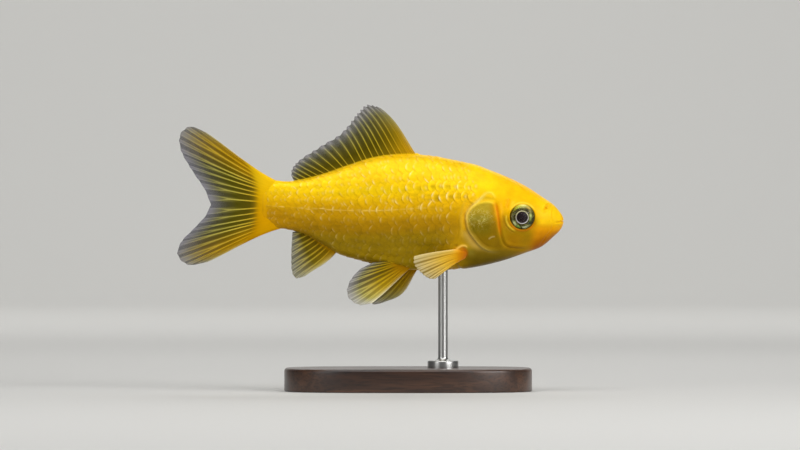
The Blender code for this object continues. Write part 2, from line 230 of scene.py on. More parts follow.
# Quads of a grid of points, whose columns may join up, counted from a first number.
def gridFaces(rows, columns, closed=False, first=0, flip=False):
    i, j = np.meshgrid(np.arange(rows - 1), np.arange(columns if closed else columns - 1), indexing="ij")
    after = (j + 1) % columns
    low, high = i * columns + first, (i + 1) * columns + first
    quads = np.stack([low + j, low + after, high + after, high + j], -1).reshape(-1, 4)
    return quads[:, ::-1] if flip else quads


# Quads round rings of points, and fans of triangles to the two poles, whose points come last.
def closedFaces(rings, columns):
    pole, last = rings * columns, (rings - 1) * columns
    faces = gridFaces(rings, columns, closed=True).tolist()
    faces += [(pole, (j + 1) % columns, j) for j in range(columns)]
    return faces + [(pole + 1, last + j, last + (j + 1) % columns) for j in range(columns)]


# The numbers round the rim of a grid of numbers.
def rimOf(number):
    return np.concatenate([number[0, :-1], number[:-1, -1], number[-1, :0:-1], number[:0:-1, 0]])


# Sets a node's inputs: a node's first output or a given output is linked, a hex colour is turned linear, and
# any other value is set as it is.
def setInputs(tree, node, inputs):
    for name, value in inputs.items():
        if isinstance(value, bpy.types.Node):
            value = next(output for output in value.outputs if output.enabled)
        if isinstance(value, bpy.types.NodeSocket):
            tree.links.new(value, node.inputs[name])
        else:
            node.inputs[name].default_value = (*linear(value), 1) if isinstance(value, str) else value


# Adds a node with its settings and inputs.
def addNode(tree, kind, inputs=None, **settings):
    node = tree.nodes.new("ShaderNode" + kind)
    for name, value in settings.items():
        setattr(node, name, value)
    setInputs(tree, node, inputs or {})
    return node


# A new material, its node tree and the Principled shader in it.
def newMaterial(name):
    material = bpy.data.materials.new(name)
    material.use_nodes = True
    return material, material.node_tree, material.node_tree.nodes["Principled BSDF"]


# Markings and relief of the head and body.

marks = {
    "gillEdge": ((19.5, 8.6), (20.3, 6.9), (22.0, 5.4), (23.9, 3.7), (25.1, 2.2), (25.4, 0.4), (25.0, -2.0),
                 (24.1, -3.7), (22.7, -5.6), (21.1, -7.1), (19.0, -8.0), (15.8, -8.4), (12.8, -8.8)),
    "gillOpening": (0.05, 0.88),  # share of the edge where it stands free of the shoulder
    "preopercle": ((17.5, 5.2), (17.1, 3.2), (16.7, 0.6), (16.4, -2.0), (16.0, -4.1), (15.3, -5.9),
                   (13.9, -6.8), (11.2, -7.0), (8.6, -6.6)),
    "upperCrest": ((24.3, 3.3), (22.0, 5.1), (20.3, 6.8), (18.7, 6.9), (17.6, 5.4)),
    "innerCrest": ((24.7, 1.9), (24.2, 2.8), (22.7, 3.9), (20.8, 4.6), (19.0, 4.6), (17.9, 3.9)),
    "coverVein": ((19.6, -4.9), (18.8, -4.3), (17.7, -4.1)),
    "shoulderEdge": ((25.2, 6.0), (26.3, 3.0), (26.6, 0), (26.4, -3.0), (25.9, -5.6)),
    "lateralLine": ((0, 3.4), (24, 3.45), (36.6, 3.15), (49.8, 2.5), (63, 2.85), (77.7, 3.85)),
    "eye": (10.78, 0.94),
    "eyeRadius": 3.28,
    "underEye": ((15.0, 1.6), (15.0, 0.1), (14.5, -1.2), (13.5, -2.2), (12.3, -2.9)),
    "behindEye": ((14.0, 5.6), (14.5, 4.3), (14.7, 3.0)),
    "mouth": ((0, -0.1), (1.2, -0.35), (2.4, -0.65), (4, -1.3)),
    "mouthEnd": (1.2, 2.5),
    "lipCrease": ((2.3, 3.7), (2.9, 2.3), (3.1, 0.6), (2.8, -0.9), (3.4, -2.6), (5.2, -4.9), (6.8, -6.8)),
    "nostril": (4.5, 3.35),
    "pectoralBase": (27.0, -8.3),
    "finRim": ((28.0, -7.6), (27.5, -7.0), (26.5, -6.45), (25.5, -6.5), (24.8, -7.1)),
    "scalesFrom": ((25.0, 16), (22.0, 12), (21.4, 8.0), (23.2, 5.0), (25.6, 3.4), (26.9, 1.0), (27.0, -2.0),
                   (27.6, -5.0), (30.0, -8.0), (27.6, -11), (24.0, -14)),
    "scalesTo": 76.4,
}
# Grooves and ridges along those lines: distance behind the line, width, and height.
lineRelief = {
    "underEye": ((0.5, 0.24, -0.15), (0, 0.26, 0.17)),
    "behindEye": ((0, 0.32, -0.12), (0.6, 0.35, 0.10)),
    "lipCrease": ((0, 0.22, -0.15), (0.5, 0.4, 0.08)),
    "preopercle": ((0.3, 0.3, -0.2), (-0.5, 0.5, 0.18)),
    "upperCrest": ((0, 0.32, 0.26),),
    "innerCrest": ((0, 0.26, 0.2), (-0.9, 0.45, -0.2)),
    "coverVein": ((0, 0.22, 0.07),),
    "shoulderEdge": ((-0.15, 0.5, 0.08),),
    "finRim": ((0, 0.25, 0.24),),
}
linePoints = 36  # on each line's smooth path
linePaths = {name: smoothPath(marks[name], linePoints) for name in ("gillEdge", "scalesFrom", *lineRelief)}


# Where a point of the surface lies among the head's lines: how far behind each and how far along it, and by
# the eye, mouth, nostril and pectoral fin, for both the relief and the colours.
def markDistances(back, up):
    at = {}
    for name in ("gillEdge", *lineRelief):
        at[name], share = awayFrom(linePaths[name], back, up)
        at[name + "Share"] = share
        at[name + "Ends"] = ramp(0, 0.15, share) * ramp(1.0, 0.8, share)
    start, end = marks["gillOpening"]
    share = at["gillEdgeShare"]
    at["opening"] = ramp(start, start + 0.10, share) * ramp(end, end - 0.2, share)
    eyeBack, eyeUp = marks["eye"]
    at["eye"] = np.hypot(back - eyeBack, up - eyeUp)
    at["slit"] = up - smoothLine(marks["mouth"], back)
    pitBack, pitUp = back - marks["nostril"][0], up - marks["nostril"][1]
    at["pitAlong"] = pitUp * 0.83 - pitBack * 0.56
    at["pitAcross"] = pitUp * 0.56 + pitBack * 0.83
    rootBack, rootUp = marks["pectoralBase"]
    at["finRoot"] = np.hypot((back - rootBack) / 2.1, (up - rootUp) / 1.75)
    at["finFront"] = np.hypot((back - rootBack + 1.35) / 0.75, (up - rootUp + 0.5) / 1.35)
    return at


# A bell across one of the head's lines, some way behind it, that fades at both ends of the line.
def lineBell(at, name, behind, width):
    return bell(at[name], behind, width) * at[name + "Ends"]


# Soft flesh on the ridge of the back and the keel of the belly: ramps along the fish, fading away from both.
def softSwell(back, up):
    top, bottom = section(back)[:2]
    ridge = ramp(3.5, 0.5, top - up) * ramp(19, 24, back) * ramp(78, 75, back)
    keel = ramp(2.5, 0.3, up - bottom) * ramp(2, 7, back) * ramp(76, 73, back)
    return 0.2 * ridge + 0.3 * keel


# How far the skin stands off the solids, outwards: grooves and ridges as bells across their lines, the gill
# cover as a step, and the eye's socket as a bowl with a raised rim.
def skinRelief(back, side, up, at):
    lift = softSwell(back, up)
    for name, parts in lineRelief.items():
        for behind, width, height in parts:
            lift += height * lineBell(at, name, behind, width)
    # eye socket and its rim
    lift -= 2.4 * ramp(marks["eyeRadius"] + 0.02, marks["eyeRadius"] - 0.5, at["eye"])
    lift += 0.14 * bell(at["eye"], marks["eyeRadius"] + 0.26, 0.22)
    # mouth and lips
    ends = ramp(marks["mouthEnd"][1], marks["mouthEnd"][0], back)
    lips = 0.15 * bell(at["slit"], 0.42, 0.3) + 0.12 * bell(at["slit"], -0.45, 0.3)
    lift += ends * (lips * ramp(0, 1.2, back) - 0.26 * bell(at["slit"], 0, 0.13))
    # nostrils: a slanting pit crossed by a small flap, in a raised rim
    lift -= 0.5 * bell(at["pitAlong"], 0, 0.75) * bell(at["pitAcross"], 0, 0.34)
    lift += 0.5 * bell(at["pitAlong"], 0.05, 0.16) * bell(at["pitAcross"], 0, 0.5)
    lift += 0.14 * bell(np.hypot(at["pitAlong"] / 1.15, at["pitAcross"] / 0.7), 1, 0.3)
    # gill cover: fine wrinkles on the plate, a rim, and the step behind it
    onCover = ramp(0.14, -0.1, at["gillEdge"])
    plate = ramp(0.4, 1.2, at["preopercle"]) * ramp(-0.5, -1.2, at["gillEdge"])
    lift += 0.035 * plate * np.sin(1.9 * back + 2.4 * up + 1.4 * np.sin(1.3 * up)) * ramp(-6, -4, up)
    step = 0.08 + 0.24 * ramp(-5, -1, up)
    lift += at["opening"] * (onCover * (0.08 + 0.22 * bell(at["gillEdge"], -0.15, 0.7))
                             - 0.12 * bell(at["gillEdge"], -1.1, 0.3)
                             - (1 - onCover) * step * bell(np.maximum(at["gillEdge"], 0), 0, 0.8))
    # fleshy root of the pectoral fin
    lift += 0.85 * bell(at["finRoot"], 0, 1) - 0.35 * bell(at["finFront"], 0, 1)
    # the scaled body lies under its coat, and the tail's root comes up again behind the last scales
    soft = 0.4 + 1.2 * ramp(4, 9, up)
    scaled = ramp(-1, 1, (awayFrom(linePaths["scalesFrom"], back, up)[0] - 0.1) / soft)
    scaled *= ramp(marks["scalesTo"] + 1.4, marks["scalesTo"] - 0.2, back)
    lift -= body["coatDepth"] * scaled + 0.5 * ramp(77.4, body["length"], back)
    # flesh rises in a soft curve into the front of the dorsal fin and into both edges of the tail
    risen = bell(back, 38.0, 0.9) * ramp(10, 14, up) + bell(back, 74.7, 1.7)
    return lift + 0.5 * bell(side, 0, 0.8) * risen


# The colours of the body by the height above the lateral line, from belly to back: darker below the line,
# partly the fish's own olive belly and partly painted shade under the light from above.
flankColoursWithShade = (
    (-14, "#BC9C14"), (-12, "#B2900C"), (-9, "#9F800A"), (-7, "#A38106"), (-5, "#AF8204"), (-3, "#BE8D04"),
    (-1, "#DFA905"), (1, "#EEB707"), (3, "#FFCB0A"), (5, "#FFD40A"), (9, "#FFCE0C"),
)
# The colours of the flesh at the root of the tail by the height above the snout: lighter towards the top,
# partly the flesh's own tone and partly painted light from above.
tailRootColours = ((-3, "#D99E04"), (1, "#DDA004"), (4, "#E4AA06"), (7, "#EFBA0A"), (11, "#F0C012"))


# The animal's colours, the same for skin and scales: the run over the body, and washes over its parts.
def bodyTint(back, up, at):
    top, bottom = section(back)[:2]
    height = (up - bottom) / np.maximum(top - bottom, 0.5)
    line = up - smoothLine(marks["lateralLine"], back)
    head = ramp(20, 13, back)
    snout = ramp(9.5, 5.5, back)
    throat = ramp(29, 22, back) * ramp(9, 14, back)
    rim = bell(at["eye"], marks["eyeRadius"] + 0.25, 0.3)
    onPlate = ramp(0.3, 1.4, at["preopercle"]) * ramp(-0.1, -0.9, at["gillEdge"]) * ramp(11.5, 15, back)
    plate = onPlate * ramp(-0.2, 0.6, at["innerCrest"]) * ramp(6.2, 4.6, up)
    inner = plate * ramp(17.6, 20.2, back)
    groove = ramp(0.0, 0.1, at["preopercleShare"]) * ramp(0.56, 0.36, at["preopercleShare"])
    hot = ramp(-2.5, 2.0, up)
    paleRim = bell(at["gillEdge"], -0.1, 0.36) * at["opening"]
    band = bell(at["gillEdge"], 0.8, 1.0) * at["opening"]
    pit = bell(at["pitAlong"], 0, 0.8) * bell(at["pitAcross"], 0, 0.4)
    slit = bell(at["slit"], 0, 0.14) * ramp(marks["mouthEnd"][1] + 0.3, marks["mouthEnd"][0], back)
    colour = wash(
        colourRun(line, flankColoursWithShade),
        ("#C89206", ramp(66, 76, back) * ramp(0.5, -1.5, line)),
        ("#C48E06", 0.55 * bell(back, 60, 8) * bell(line, -0.2, 2.2)),
        ("#C8960A", 0.7 * bell(back, 27.5, 3.2) * ramp(0.5, -2.5, up)),
        # head: golden above and orange round the mouth; the duller cheek, the jaw darkening to brown at its
        # lower edge and the dark throat are painted shade from the light above, over the head's own orange
        # and olive
        ("#FFBE05", 0.9 * head * ramp(0.45, 0.7, height)),
        ("#FFCA10", ramp(8, 5.5, back) * ramp(-2.6, -0.6, up)),
        ("#F0A406", ramp(9.5, 6, back) * ramp(-0.2, -2.4, up)),
        ("#D58A06", snout * ramp(-1.6, -3.6, up)),
        ("#A86604", snout * ramp(-2.9, -4.8, up + 0.35 * (back - 4))),
        ("#E2952E", 0.4 * ramp(1.2, 0.2, back)),
        ("#AA7804", 0.9 * head * bell(back, 13.4, 4.6) * ramp(-2.0, -4.4, up)),
        ("#9C4F02", 0.7 * bell(back, 7.0, 2.2) * bell(height, 0.02, 0.14)),
        ("#7A620C", 0.9 * throat * ramp(-6.4, -8.2, up)),
        ("#6A560A", 0.9 * throat * ramp(-8.2, -10.2, up)),
        # orange under the eye, the yellow folds behind it and the orange crease between them
        ("#C8700C", 0.75 * rim * ramp(0.2, -1.8, up)),
        ("#FFDC3C", 0.8 * rim * ramp(2.2, 3.6, up)),
        ("#966E08", 0.6 * lineBell(at, "underEye", 0.7, 0.5)),
        ("#EEC832", 0.7 * lineBell(at, "underEye", 0, 0.26)),
        ("#EC9A06", 0.4 * lineBell(at, "behindEye", 0.05, 0.7)),
        ("#FFD832", 0.6 * lineBell(at, "behindEye", -1.1, 0.45)),
        # gill cover: a see-through plate, pale gold above and dark olive below, with an orange groove ahead
        # of it, two yellow crests over it and a pale rim
        ("#A87F06", 0.9 * plate * ramp(-8.0, -6.0, up)),
        ("#8A6A06", 0.9 * plate * ramp(0.8, -1.2, up) * ramp(-8.4, -6.4, up)),
        ("#B89E28", 0.85 * inner * ramp(0.6, 2.8, up)),
        ("#9E9030", 0.85 * inner * bell(up, 0.5, 1.4)),
        ("#7A6808", 0.85 * inner * bell(up, -2.2, 2.0)),
        ("#F2A906", 0.9 * bell(at["preopercle"], 0.1, 0.9) * groove * hot),
        ("#B87C06", 0.6 * bell(at["preopercle"], 0.2, 0.5) * groove * (1 - hot)),
        ("#E07E06", 0.7 * bell(at["preopercle"], 0.25, 0.4) * groove),
        ("#DDB81E", 0.7 * lineBell(at, "innerCrest", -0.9, 0.5)),
        ("#F5D63C", 0.75 * lineBell(at, "innerCrest", 0, 0.3)),
        ("#FFE24A", 0.7 * lineBell(at, "upperCrest", 0, 0.34)),
        ("#F6DA6A", 0.85 * paleRim * ramp(-2.0, 1.0, up)),
        ("#BFA447", 0.75 * paleRim * ramp(1.0, -2.0, up)),
        ("#D9C07A", 0.5 * lineBell(at, "coverVein", 0, 0.16)),
        # shoulder: orange-yellow band, turning pale and warm below, with a pale edge
        ("#DEA810", 0.75 * band * ramp(-3, -1, up) * ramp(6, 3, up)),
        ("#CBA648", 0.85 * band * ramp(-2.0, -4.0, up) * ramp(-8.6, -6.2, up)),
        ("#A8660C", 0.3 * bell(at["gillEdge"], 0.35, 0.4) * bell(up, -4.6, 1.2)),
        ("#B49C4C", 0.5 * bell(at["gillEdge"], 0.15, 0.25) * at["opening"] * ramp(-2, -4, up)),
        ("#8C7C24", 0.7 * bell(back, 24.0, 1.1) * bell(up, -8.2, 1.0)),
        ("#D8AC2A", 0.5 * lineBell(at, "shoulderEdge", 0, 0.35)),
        # nostril and mouth
        ("#B0720A", 0.4 * pit),
        ("#C07A0C", 0.25 * slit),
        # root of the pectoral fin: painted shade in brown ahead of it and in a small spot above it, and a
        # pale rim over it with a painted highlight
        ("#D8920A", 0.95 * ramp(1.15, 0.7, at["finRoot"])),
        ("#B4600A", 0.85 * ramp(1.25, 0.8, at["finRoot"]) * ramp(27.6, 25.6, back)),
        ("#7A5004", 0.6 * bell(back, 27.8, 0.55) * bell(up, -6.3, 0.35)),
        ("#FFCC5A", 0.85 * lineBell(at, "finRim", 0, 0.2)),
    )
    return blendTo(colour, colourRun(up, tailRootColours), ramp(75.8, 77.2, back))


# Materials.

# The painted tint, mottled: multiplied by a noise that runs from a dark value to a pale one.
def mottleTint(tree, tint, noise, dark, pale):
    shade = addNode(tree, "MapRange", {"Value": noise, "From Min": 0.3, "From Max": 0.7, "To Min": dark,
                                       "To Max": pale})
    return addNode(tree, "VectorMath", {0: tint, 1: shade}, operation="MULTIPLY")


# Live skin over bone and muscle: opaque pigment under a thin clear slime, so soft colour with a wet gloss.
def makeSkinMaterial():
    material, tree, shader = newMaterial("wetYellowSkin")
    tint = addNode(tree, "Attribute", attribute_name="tint")
    place = addNode(tree, "TexCoord").outputs["Object"]
    mottle = addNode(tree, "TexNoise", {"Vector": place, "Scale": 420, "Detail": 3})
    # veins: the thin borders of warped cells, of which another noise hides some
    warp = addNode(tree, "TexNoise", {"Vector": place, "Scale": 900, "Detail": 2}).outputs["Color"]
    warped = addNode(tree, "VectorMath", {0: warp, 1: (0.0016, 0.0016, 0.0016), 2: place},
                     operation="MULTIPLY_ADD")
    cells = addNode(tree, "TexVoronoi", {"Vector": warped, "Scale": 1000}, feature="DISTANCE_TO_EDGE")
    thin = addNode(tree, "MapRange", {"Value": cells, "From Min": 0.075, "From Max": 0.02})
    shown = addNode(tree, "MapRange", {"Value": mottle, "From Min": 0.38, "From Max": 0.52})
    masked = addNode(tree, "Math", {0: thin, 1: tint.outputs["Alpha"]}, operation="MULTIPLY")
    veins = addNode(tree, "Math", {0: masked, 1: shown}, operation="MULTIPLY")
    mixed = mottleTint(tree, tint, mottle, 0.9, 1.08)
    painted = addNode(tree, "Mix", {"Factor": veins, "A": mixed, "B": "#E2D07A"}, data_type="RGBA")
    grain = addNode(tree, "TexNoise", {"Vector": place, "Scale": 2600, "Detail": 2})
    bump = addNode(tree, "Bump", {"Height": grain, "Strength": 0.15, "Distance": 0.0002})
    setInputs(tree, shader, {"Base Color": painted, "Normal": bump, "Roughness": 0.42,
                             "Specular IOR Level": 0.2, "Specular Tint": "#FFCE5A", "Coat Weight": 0.03,
                             "Coat Roughness": 0.2})
    return material


# Cycloid scales: thin clear bone over a layer of guanine crystals, so a soft metallic gold sheen.
def makeScaleMaterial():
    material, tree, shader = newMaterial("goldenScale")
    tint = addNode(tree, "Attribute", attribute_name="tint")
    place = addNode(tree, "TexCoord").outputs["Object"]
    mottle = addNode(tree, "TexNoise", {"Vector": place, "Scale": 1300, "Detail": 4, "Roughness": 0.65})
    setInputs(tree, shader, {"Base Color": mottleTint(tree, tint, mottle, 0.91, 1.08), "Metallic": 0.2,
                             "Roughness": 0.44, "Specular IOR Level": 0.35, "Specular Tint": "#FFD66A",
                             "Coat Weight": 0.04, "Coat Roughness": 0.2})
    return material


# Fin: bony rays under pigment, with clear skin between them that lets light through.
def makeFinMaterial():
    material, tree, shader = newMaterial("finRaysAndSkin")
    tint = addNode(tree, "Attribute", attribute_name="tint")
    setInputs(tree, shader, {"Base Color": tint, "Specular Tint": tint, "Alpha": tint.outputs["Alpha"],
                             "Roughness": 0.4, "Specular IOR Level": 0.3})
    return material


skinMaterial = makeSkinMaterial()
scaleMaterial = makeScaleMaterial()
finMaterial = makeFinMaterial()
print("materials: fish ready")

# Skin.

skin = {
    "headEnd": 30.0,
    "lipRows": 12,
    "headRows": 236,
    "bodyRows": 100,
    "columns": 360,
    "crowding": 0.35,  # how much the head's rows crowd towards the snout
}


# The skin: rings round the fish, closer together on the head and most at the lips, each point moved along
# the surface's outward direction by the relief. Both ends close in one point.
def makeSkin():
    headRoots = np.linspace(0, math.sqrt(skin["headEnd"]), skin["headRows"])
    even = np.linspace(0, skin["headEnd"], skin["headRows"])
    headBacks = skin["crowding"] * headRoots ** 2 + (1 - skin["crowding"]) * even
    lipBacks = headBacks[1] * np.linspace(0, 1, skin["lipRows"])[1:-1] ** 2
    tailBacks = np.linspace(skin["headEnd"], body["length"], skin["bodyRows"])[1:]
    backs = np.concatenate([lipBacks, headBacks[1:], tailBacks])
    angles = np.linspace(0, 2 * math.pi, skin["columns"], endpoint=False)
    back, angle = np.meshgrid(backs, angles, indexing="ij")
    point = bodyPoint(back, angle)
    side, up = point[..., 1], point[..., 2]
    at = markDistances(back, up)
    veins = bell(back, 21.9, 2.6) * bell(up, 0.6, 1.9)  # where the gill cover's veins show
    colour = np.concatenate([bodyTint(back, up, at), veins[..., None]], -1)
    point = point + bodyNormal(back, angle) * skinRelief(back, side, up, at)[..., None]
    poles = np.array([[0, 0, 0.05], [body["length"], 0, point[-1, :, 2].mean()]])
    points = np.concatenate([point.reshape(-1, 3), poles])
    colours = np.concatenate([colour.reshape(-1, 4), colour[[0, -1], 0]])
    return addMesh("fish_skin", toWorld(*points.T), closedFaces(*back.shape), skinMaterial, 60, colours)


fishSkin = makeSkin()
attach(fishSkin, "root")
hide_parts("head", "lower_jaw", "gill_cover_right", "gill_cover_left", "trunk", "tail_stalk")
print("skin:", len(fishSkin.data.polygons), "faces")

# Scales.

scales = {
    "rowPitch": ((0, 2.3), (18, 2.45), (30, 2.8), (40, 2.86), (56, 2.45), (72, 1.95), (79.3, 1.8)),
    "columnStep": ((20, 1.7), (32, 1.9), (58, 1.9), (77, 1.62)),  # by the distance along the fish
    "firstBack": 17.0,
    "rows": 9,
    "reach": 1.15,  # how far the free edge lies behind the middle, in column steps
    "root": 1.15,  # how far the root lies ahead of it
    "halfWidth": 0.8,  # in row pitches
    "edgeDrop": 0.9,  # how far the free edge falls back at its corners, in column steps
    "rootLift": -0.10,
    "edgeLift": 0.215,
    "dome": 0.10,
    "thickness": 0.08,
    "points": (12, 17),
    "arcSamples": (200, 361),
    "mapPatch": 0.003,
}


# Tables that turn an arc length round the fish into an angle: the running length of each section, divided by
# its whole, turned inside out.
def makeArcTables():
    sections, samples = scales["arcSamples"]
    backs = np.linspace(0.5, body["length"], sections)
    angles = np.linspace(0, math.pi, samples)
    point = bodyPoint(*np.meshgrid(backs, angles, indexing="ij"))
    run = np.zeros((sections, samples))
    run[:, 1:] = np.cumsum(np.linalg.norm(np.diff(point, axis=1), axis=-1), axis=1)
    angleAt = np.stack([np.interp(np.linspace(0, 1, samples), row / row[-1], angles) for row in run])
    lineUp = smoothLine(marks["lateralLine"], backs)
    lineRun = np.array([np.interp(-level, -ups, row) for level, ups, row in zip(lineUp, point[..., 2], run)])
    return backs, run[:, -1], lineRun, angleAt


arcBacks, arcWhole, arcLine, arcAngle = makeArcTables()


# The angle at an arc length above the lateral line, by blending four entries of the table. Past the back or
# the belly it runs on down the other side.
def angleAtArc(back, arc):
    share = (np.interp(back, arcBacks, arcLine) - arc) / np.interp(back, arcBacks, arcWhole)
    mirrored = np.where(share < 0, -share, np.where(share > 1, 2 - share, share))
    rows, columns = arcAngle.shape
    i = np.clip((back - arcBacks[0]) / (arcBacks[1] - arcBacks[0]), 0, rows - 1.001)
    j = np.clip(mirrored * (columns - 1), 0, columns - 1.001)
    i0, j0 = i.astype(int), j.astype(int)
    fi, fj = i - i0, j - j0
    angle = ((arcAngle[i0, j0] * (1 - fj) + arcAngle[i0, j0 + 1] * fj) * (1 - fi)
             + (arcAngle[i0 + 1, j0] * (1 - fj) + arcAngle[i0 + 1, j0 + 1] * fj) * fi)
    return np.where(share < 0, -angle, np.where(share > 1, 2 * math.pi - angle, angle)), share


# Middles of the scales on one side, row by row from the lateral line, every other row half a step on.
def scalePlaces(rng):
    columns = [scales["firstBack"]]
    while columns[-1] < marks["scalesTo"] + 2:
        columns.append(columns[-1] + np.interp(columns[-1], *zip(*scales["columnStep"])))
    columns = np.array(columns)
    rows = np.arange(-scales["rows"], scales["rows"] + 1)
    row, column = np.meshgrid(rows, np.arange(len(columns)), indexing="ij")
    step = np.gradient(columns)[column]
    back = columns[column] + step * 0.5 * (row % 2)
    pitch = smoothLine(scales["rowPitch"], back)
    angle, share = angleAtArc(back, row * pitch)
    start = awayFrom(linePaths["scalesFrom"], back, bodyPoint(back, angle)[..., 2])[0]
    keep = (share > -0.02) & (share < 1.02) & (back < marks["scalesTo"]) & (start > 0.1)
    wobble = rng.normal(0, 1, (3,) + back.shape)
    return [value[keep][:, None, None] for value in (back, row, step, pitch, *wobble)]


# The colours of the scales: the animal's, with a darker spot and fine lines on each scale, and painted
# highlights:
# pale dashes along the free edge and, on some, on the scale, stronger higher up the body, all a little
# different.
def scaleTint(back, up, p, q, b, show, onLine, wobbles):
    wobbleA, wobbleB, wobbleC = wobbles
    shoulder = bell(back, 31, 9) * bell(up, 7, 4)
    spot = ramp(0.95, 0.72, p) * ramp(0.2, 0.5, p) * bell(q, 0.2 * wobbleB, 0.5)
    deep = 0.1 + 0.28 * shoulder * np.clip(0.9 + 0.5 * wobbleC, 0.2, 1.8)
    striae = np.cos((1.7 * q + 0.3 * wobbleB) * 2 * math.pi) * ramp(0.45, 0.75, p)
    streak = bell(q, 0.5 * wobbleB, 0.22) * ramp(0.3, 0.6, p) * ramp(3, -2, up)
    shade = 1 - show * (deep * spot + (0.02 + 0.07 * shoulder) * striae) - 0.12 * streak + 0.03 * wobbleC
    # painted highlights on the free edge, and on some scales a second one on the scale itself
    strength = np.clip(0.5 + 0.6 * wobbleA, 0.05, 1.6)
    dash = bell(q, 0.3 * wobbleC, 0.24) + 0.6 * bell(q, 0.5 - wobbleC, 0.16)
    glint = ramp(0.86, 0.97, p) * np.minimum(dash, 1) * strength
    glint = glint + 0.6 * bell(p, 0.68, 0.06) * bell(q, 0.4 * wobbleB, 0.2) * (strength < 0.7)
    lineGlint = (0.1 + 0.9 * ramp(30, 42, back)) * (0.5 + 0.2 * wobbleB) * ramp(80, 68, back)
    return wash(
        bodyTint(back, up, markDistances(back, up)) * shade[..., None],
        ("#FFE68E", (0.16 + 0.7 * show * ramp(-3, 5, up)) * glint),
        ("#FFDC6E", lineGlint * onLine * bell(b + 0.09 * wobbleC, 0, 0.12)),
    )


# Faces of the scales, whose points are each tile's, then the ring under its rim, then one under its middle.
def scaleFaces(count, along, across, ring, hand):
    low = along * across + np.arange(len(ring))
    middle = low[-1] + 1
    rim = np.stack([ring, np.roll(ring, -1), np.roll(low, -1), low], -1)
    fan = np.stack([low, np.roll(low, -1), np.full(len(ring), middle)], -1)
    if hand < 0:
        rim, fan = rim[:, ::-1], fan[:, ::-1]
    offset = (np.arange(count) * (middle + 1))[:, None, None]
    faces = []
    for part in (gridFaces(along, across, flip=hand > 0), rim, fan):
        faces += (part + offset).reshape(-1, part.shape[1]).tolist()
    return faces


# One side's scales as one mesh. Each is a tile in (back, arc) laid on the body: its free edge is an arc, its
# height grows evenly from the sunk root to the free edge and falls off to both sides, and its rim goes down
# to a point under it. The even slope puts every scale over the ones behind it. On a tile p runs from 0 at
# the root to 1 at the free edge, q from -1 to 1 across, and a and b are the same way in millimetres.
def makeScales(name, hand, seed):
    back0, row, step, pitch, *wobbles = scalePlaces(np.random.default_rng(seed))
    along, across = scales["points"]
    p, q = np.meshgrid(np.linspace(0, 1, along) ** 0.6, np.linspace(-1, 1, across), indexing="ij")
    free = step * (scales["reach"] + 0.04 * wobbles[0] - scales["edgeDrop"] * q ** 2)
    root = -step * scales["root"]
    a = root + p * (free - root)
    b = q * pitch * scales["halfWidth"] * (1 - 0.15 * (1 - p) ** 2)
    back = np.clip(back0 + a, 0.5, body["length"])
    rise = (a - root) / (step * (scales["reach"] + scales["root"]))
    angle = angleAtArc(back, row * smoothLine(scales["rowPitch"], back) + b)[0]
    base = bodyPoint(back, angle)
    up = base[..., 2]
    # scales show most in a band over the shoulder and flank, and hardly on the nape and low on the belly
    show = 0.3 + 0.7 * bell(up, 6.5, 5.0) * ramp(78, 30, back)
    edge = scales["edgeLift"] * (0.6 + 0.4 * show) * (1 + 0.12 * wobbles[1])
    onLine = (row == 0) * ramp(0.05, 0.2, p) * ramp(0.98, 0.8, p)
    lift = scales["rootLift"] + (edge - scales["rootLift"]) * rise - scales["dome"] * q ** 2
    lift += 0.05 * onLine * bell(b, 0, 0.14) + softSwell(back, up) - body["coatDepth"]
    colour = scaleTint(back, up, p, q, b, show, onLine, wobbles)
    outward, mirror, count = bodyNormal(back, angle), np.array([1, hand, 1]), len(back)
    top, under = (((base + outward * height[..., None]) * mirror).reshape(count, -1, 3)
                  for height in (lift, lift - scales["thickness"]))
    tile = colour.reshape(count, -1, 3)
    number = np.arange(along * across).reshape(along, across)
    ring, centre = rimOf(number), number[along // 2, across // 2]
    points = np.concatenate([top, under[:, ring], under[:, [centre]]], axis=1)
    colours = np.concatenate([tile, tile[:, ring], tile[:, [centre]]], axis=1)
    faces = scaleFaces(count, along, across, ring, hand)
    coat = addMesh(name, toWorld(*np.moveaxis(points, -1, 0)), faces, scaleMaterial, 50, colours)
    # on the map a scale is a small patch at its root's place on the skin, unrolled from the belly
    rootPair = np.stack([back[:, 0, across // 2] / body["length"],
                         angle[:, 0, across // 2] / (2 * math.pi) % 1], -1) * 0.98 + 0.01
    patch = (np.stack([p, q / 2 + 0.5], -1).reshape(-1, 2) - 0.5) * scales["mapPatch"]
    addCoatMap(coat, rootPair[:, None] + np.concatenate([patch, patch[ring], [[0, 0]]])[None])
    return coat


for scaleName, scaleHand, scaleSeed in (("scales_right", -1, 11), ("scales_left", 1, 12)):
    scaleCoat = makeScales(scaleName, scaleHand, scaleSeed)
    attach(scaleCoat, "root")
    print("scales:", scaleName, len(scaleCoat.data.polygons), "faces")

# Fins.

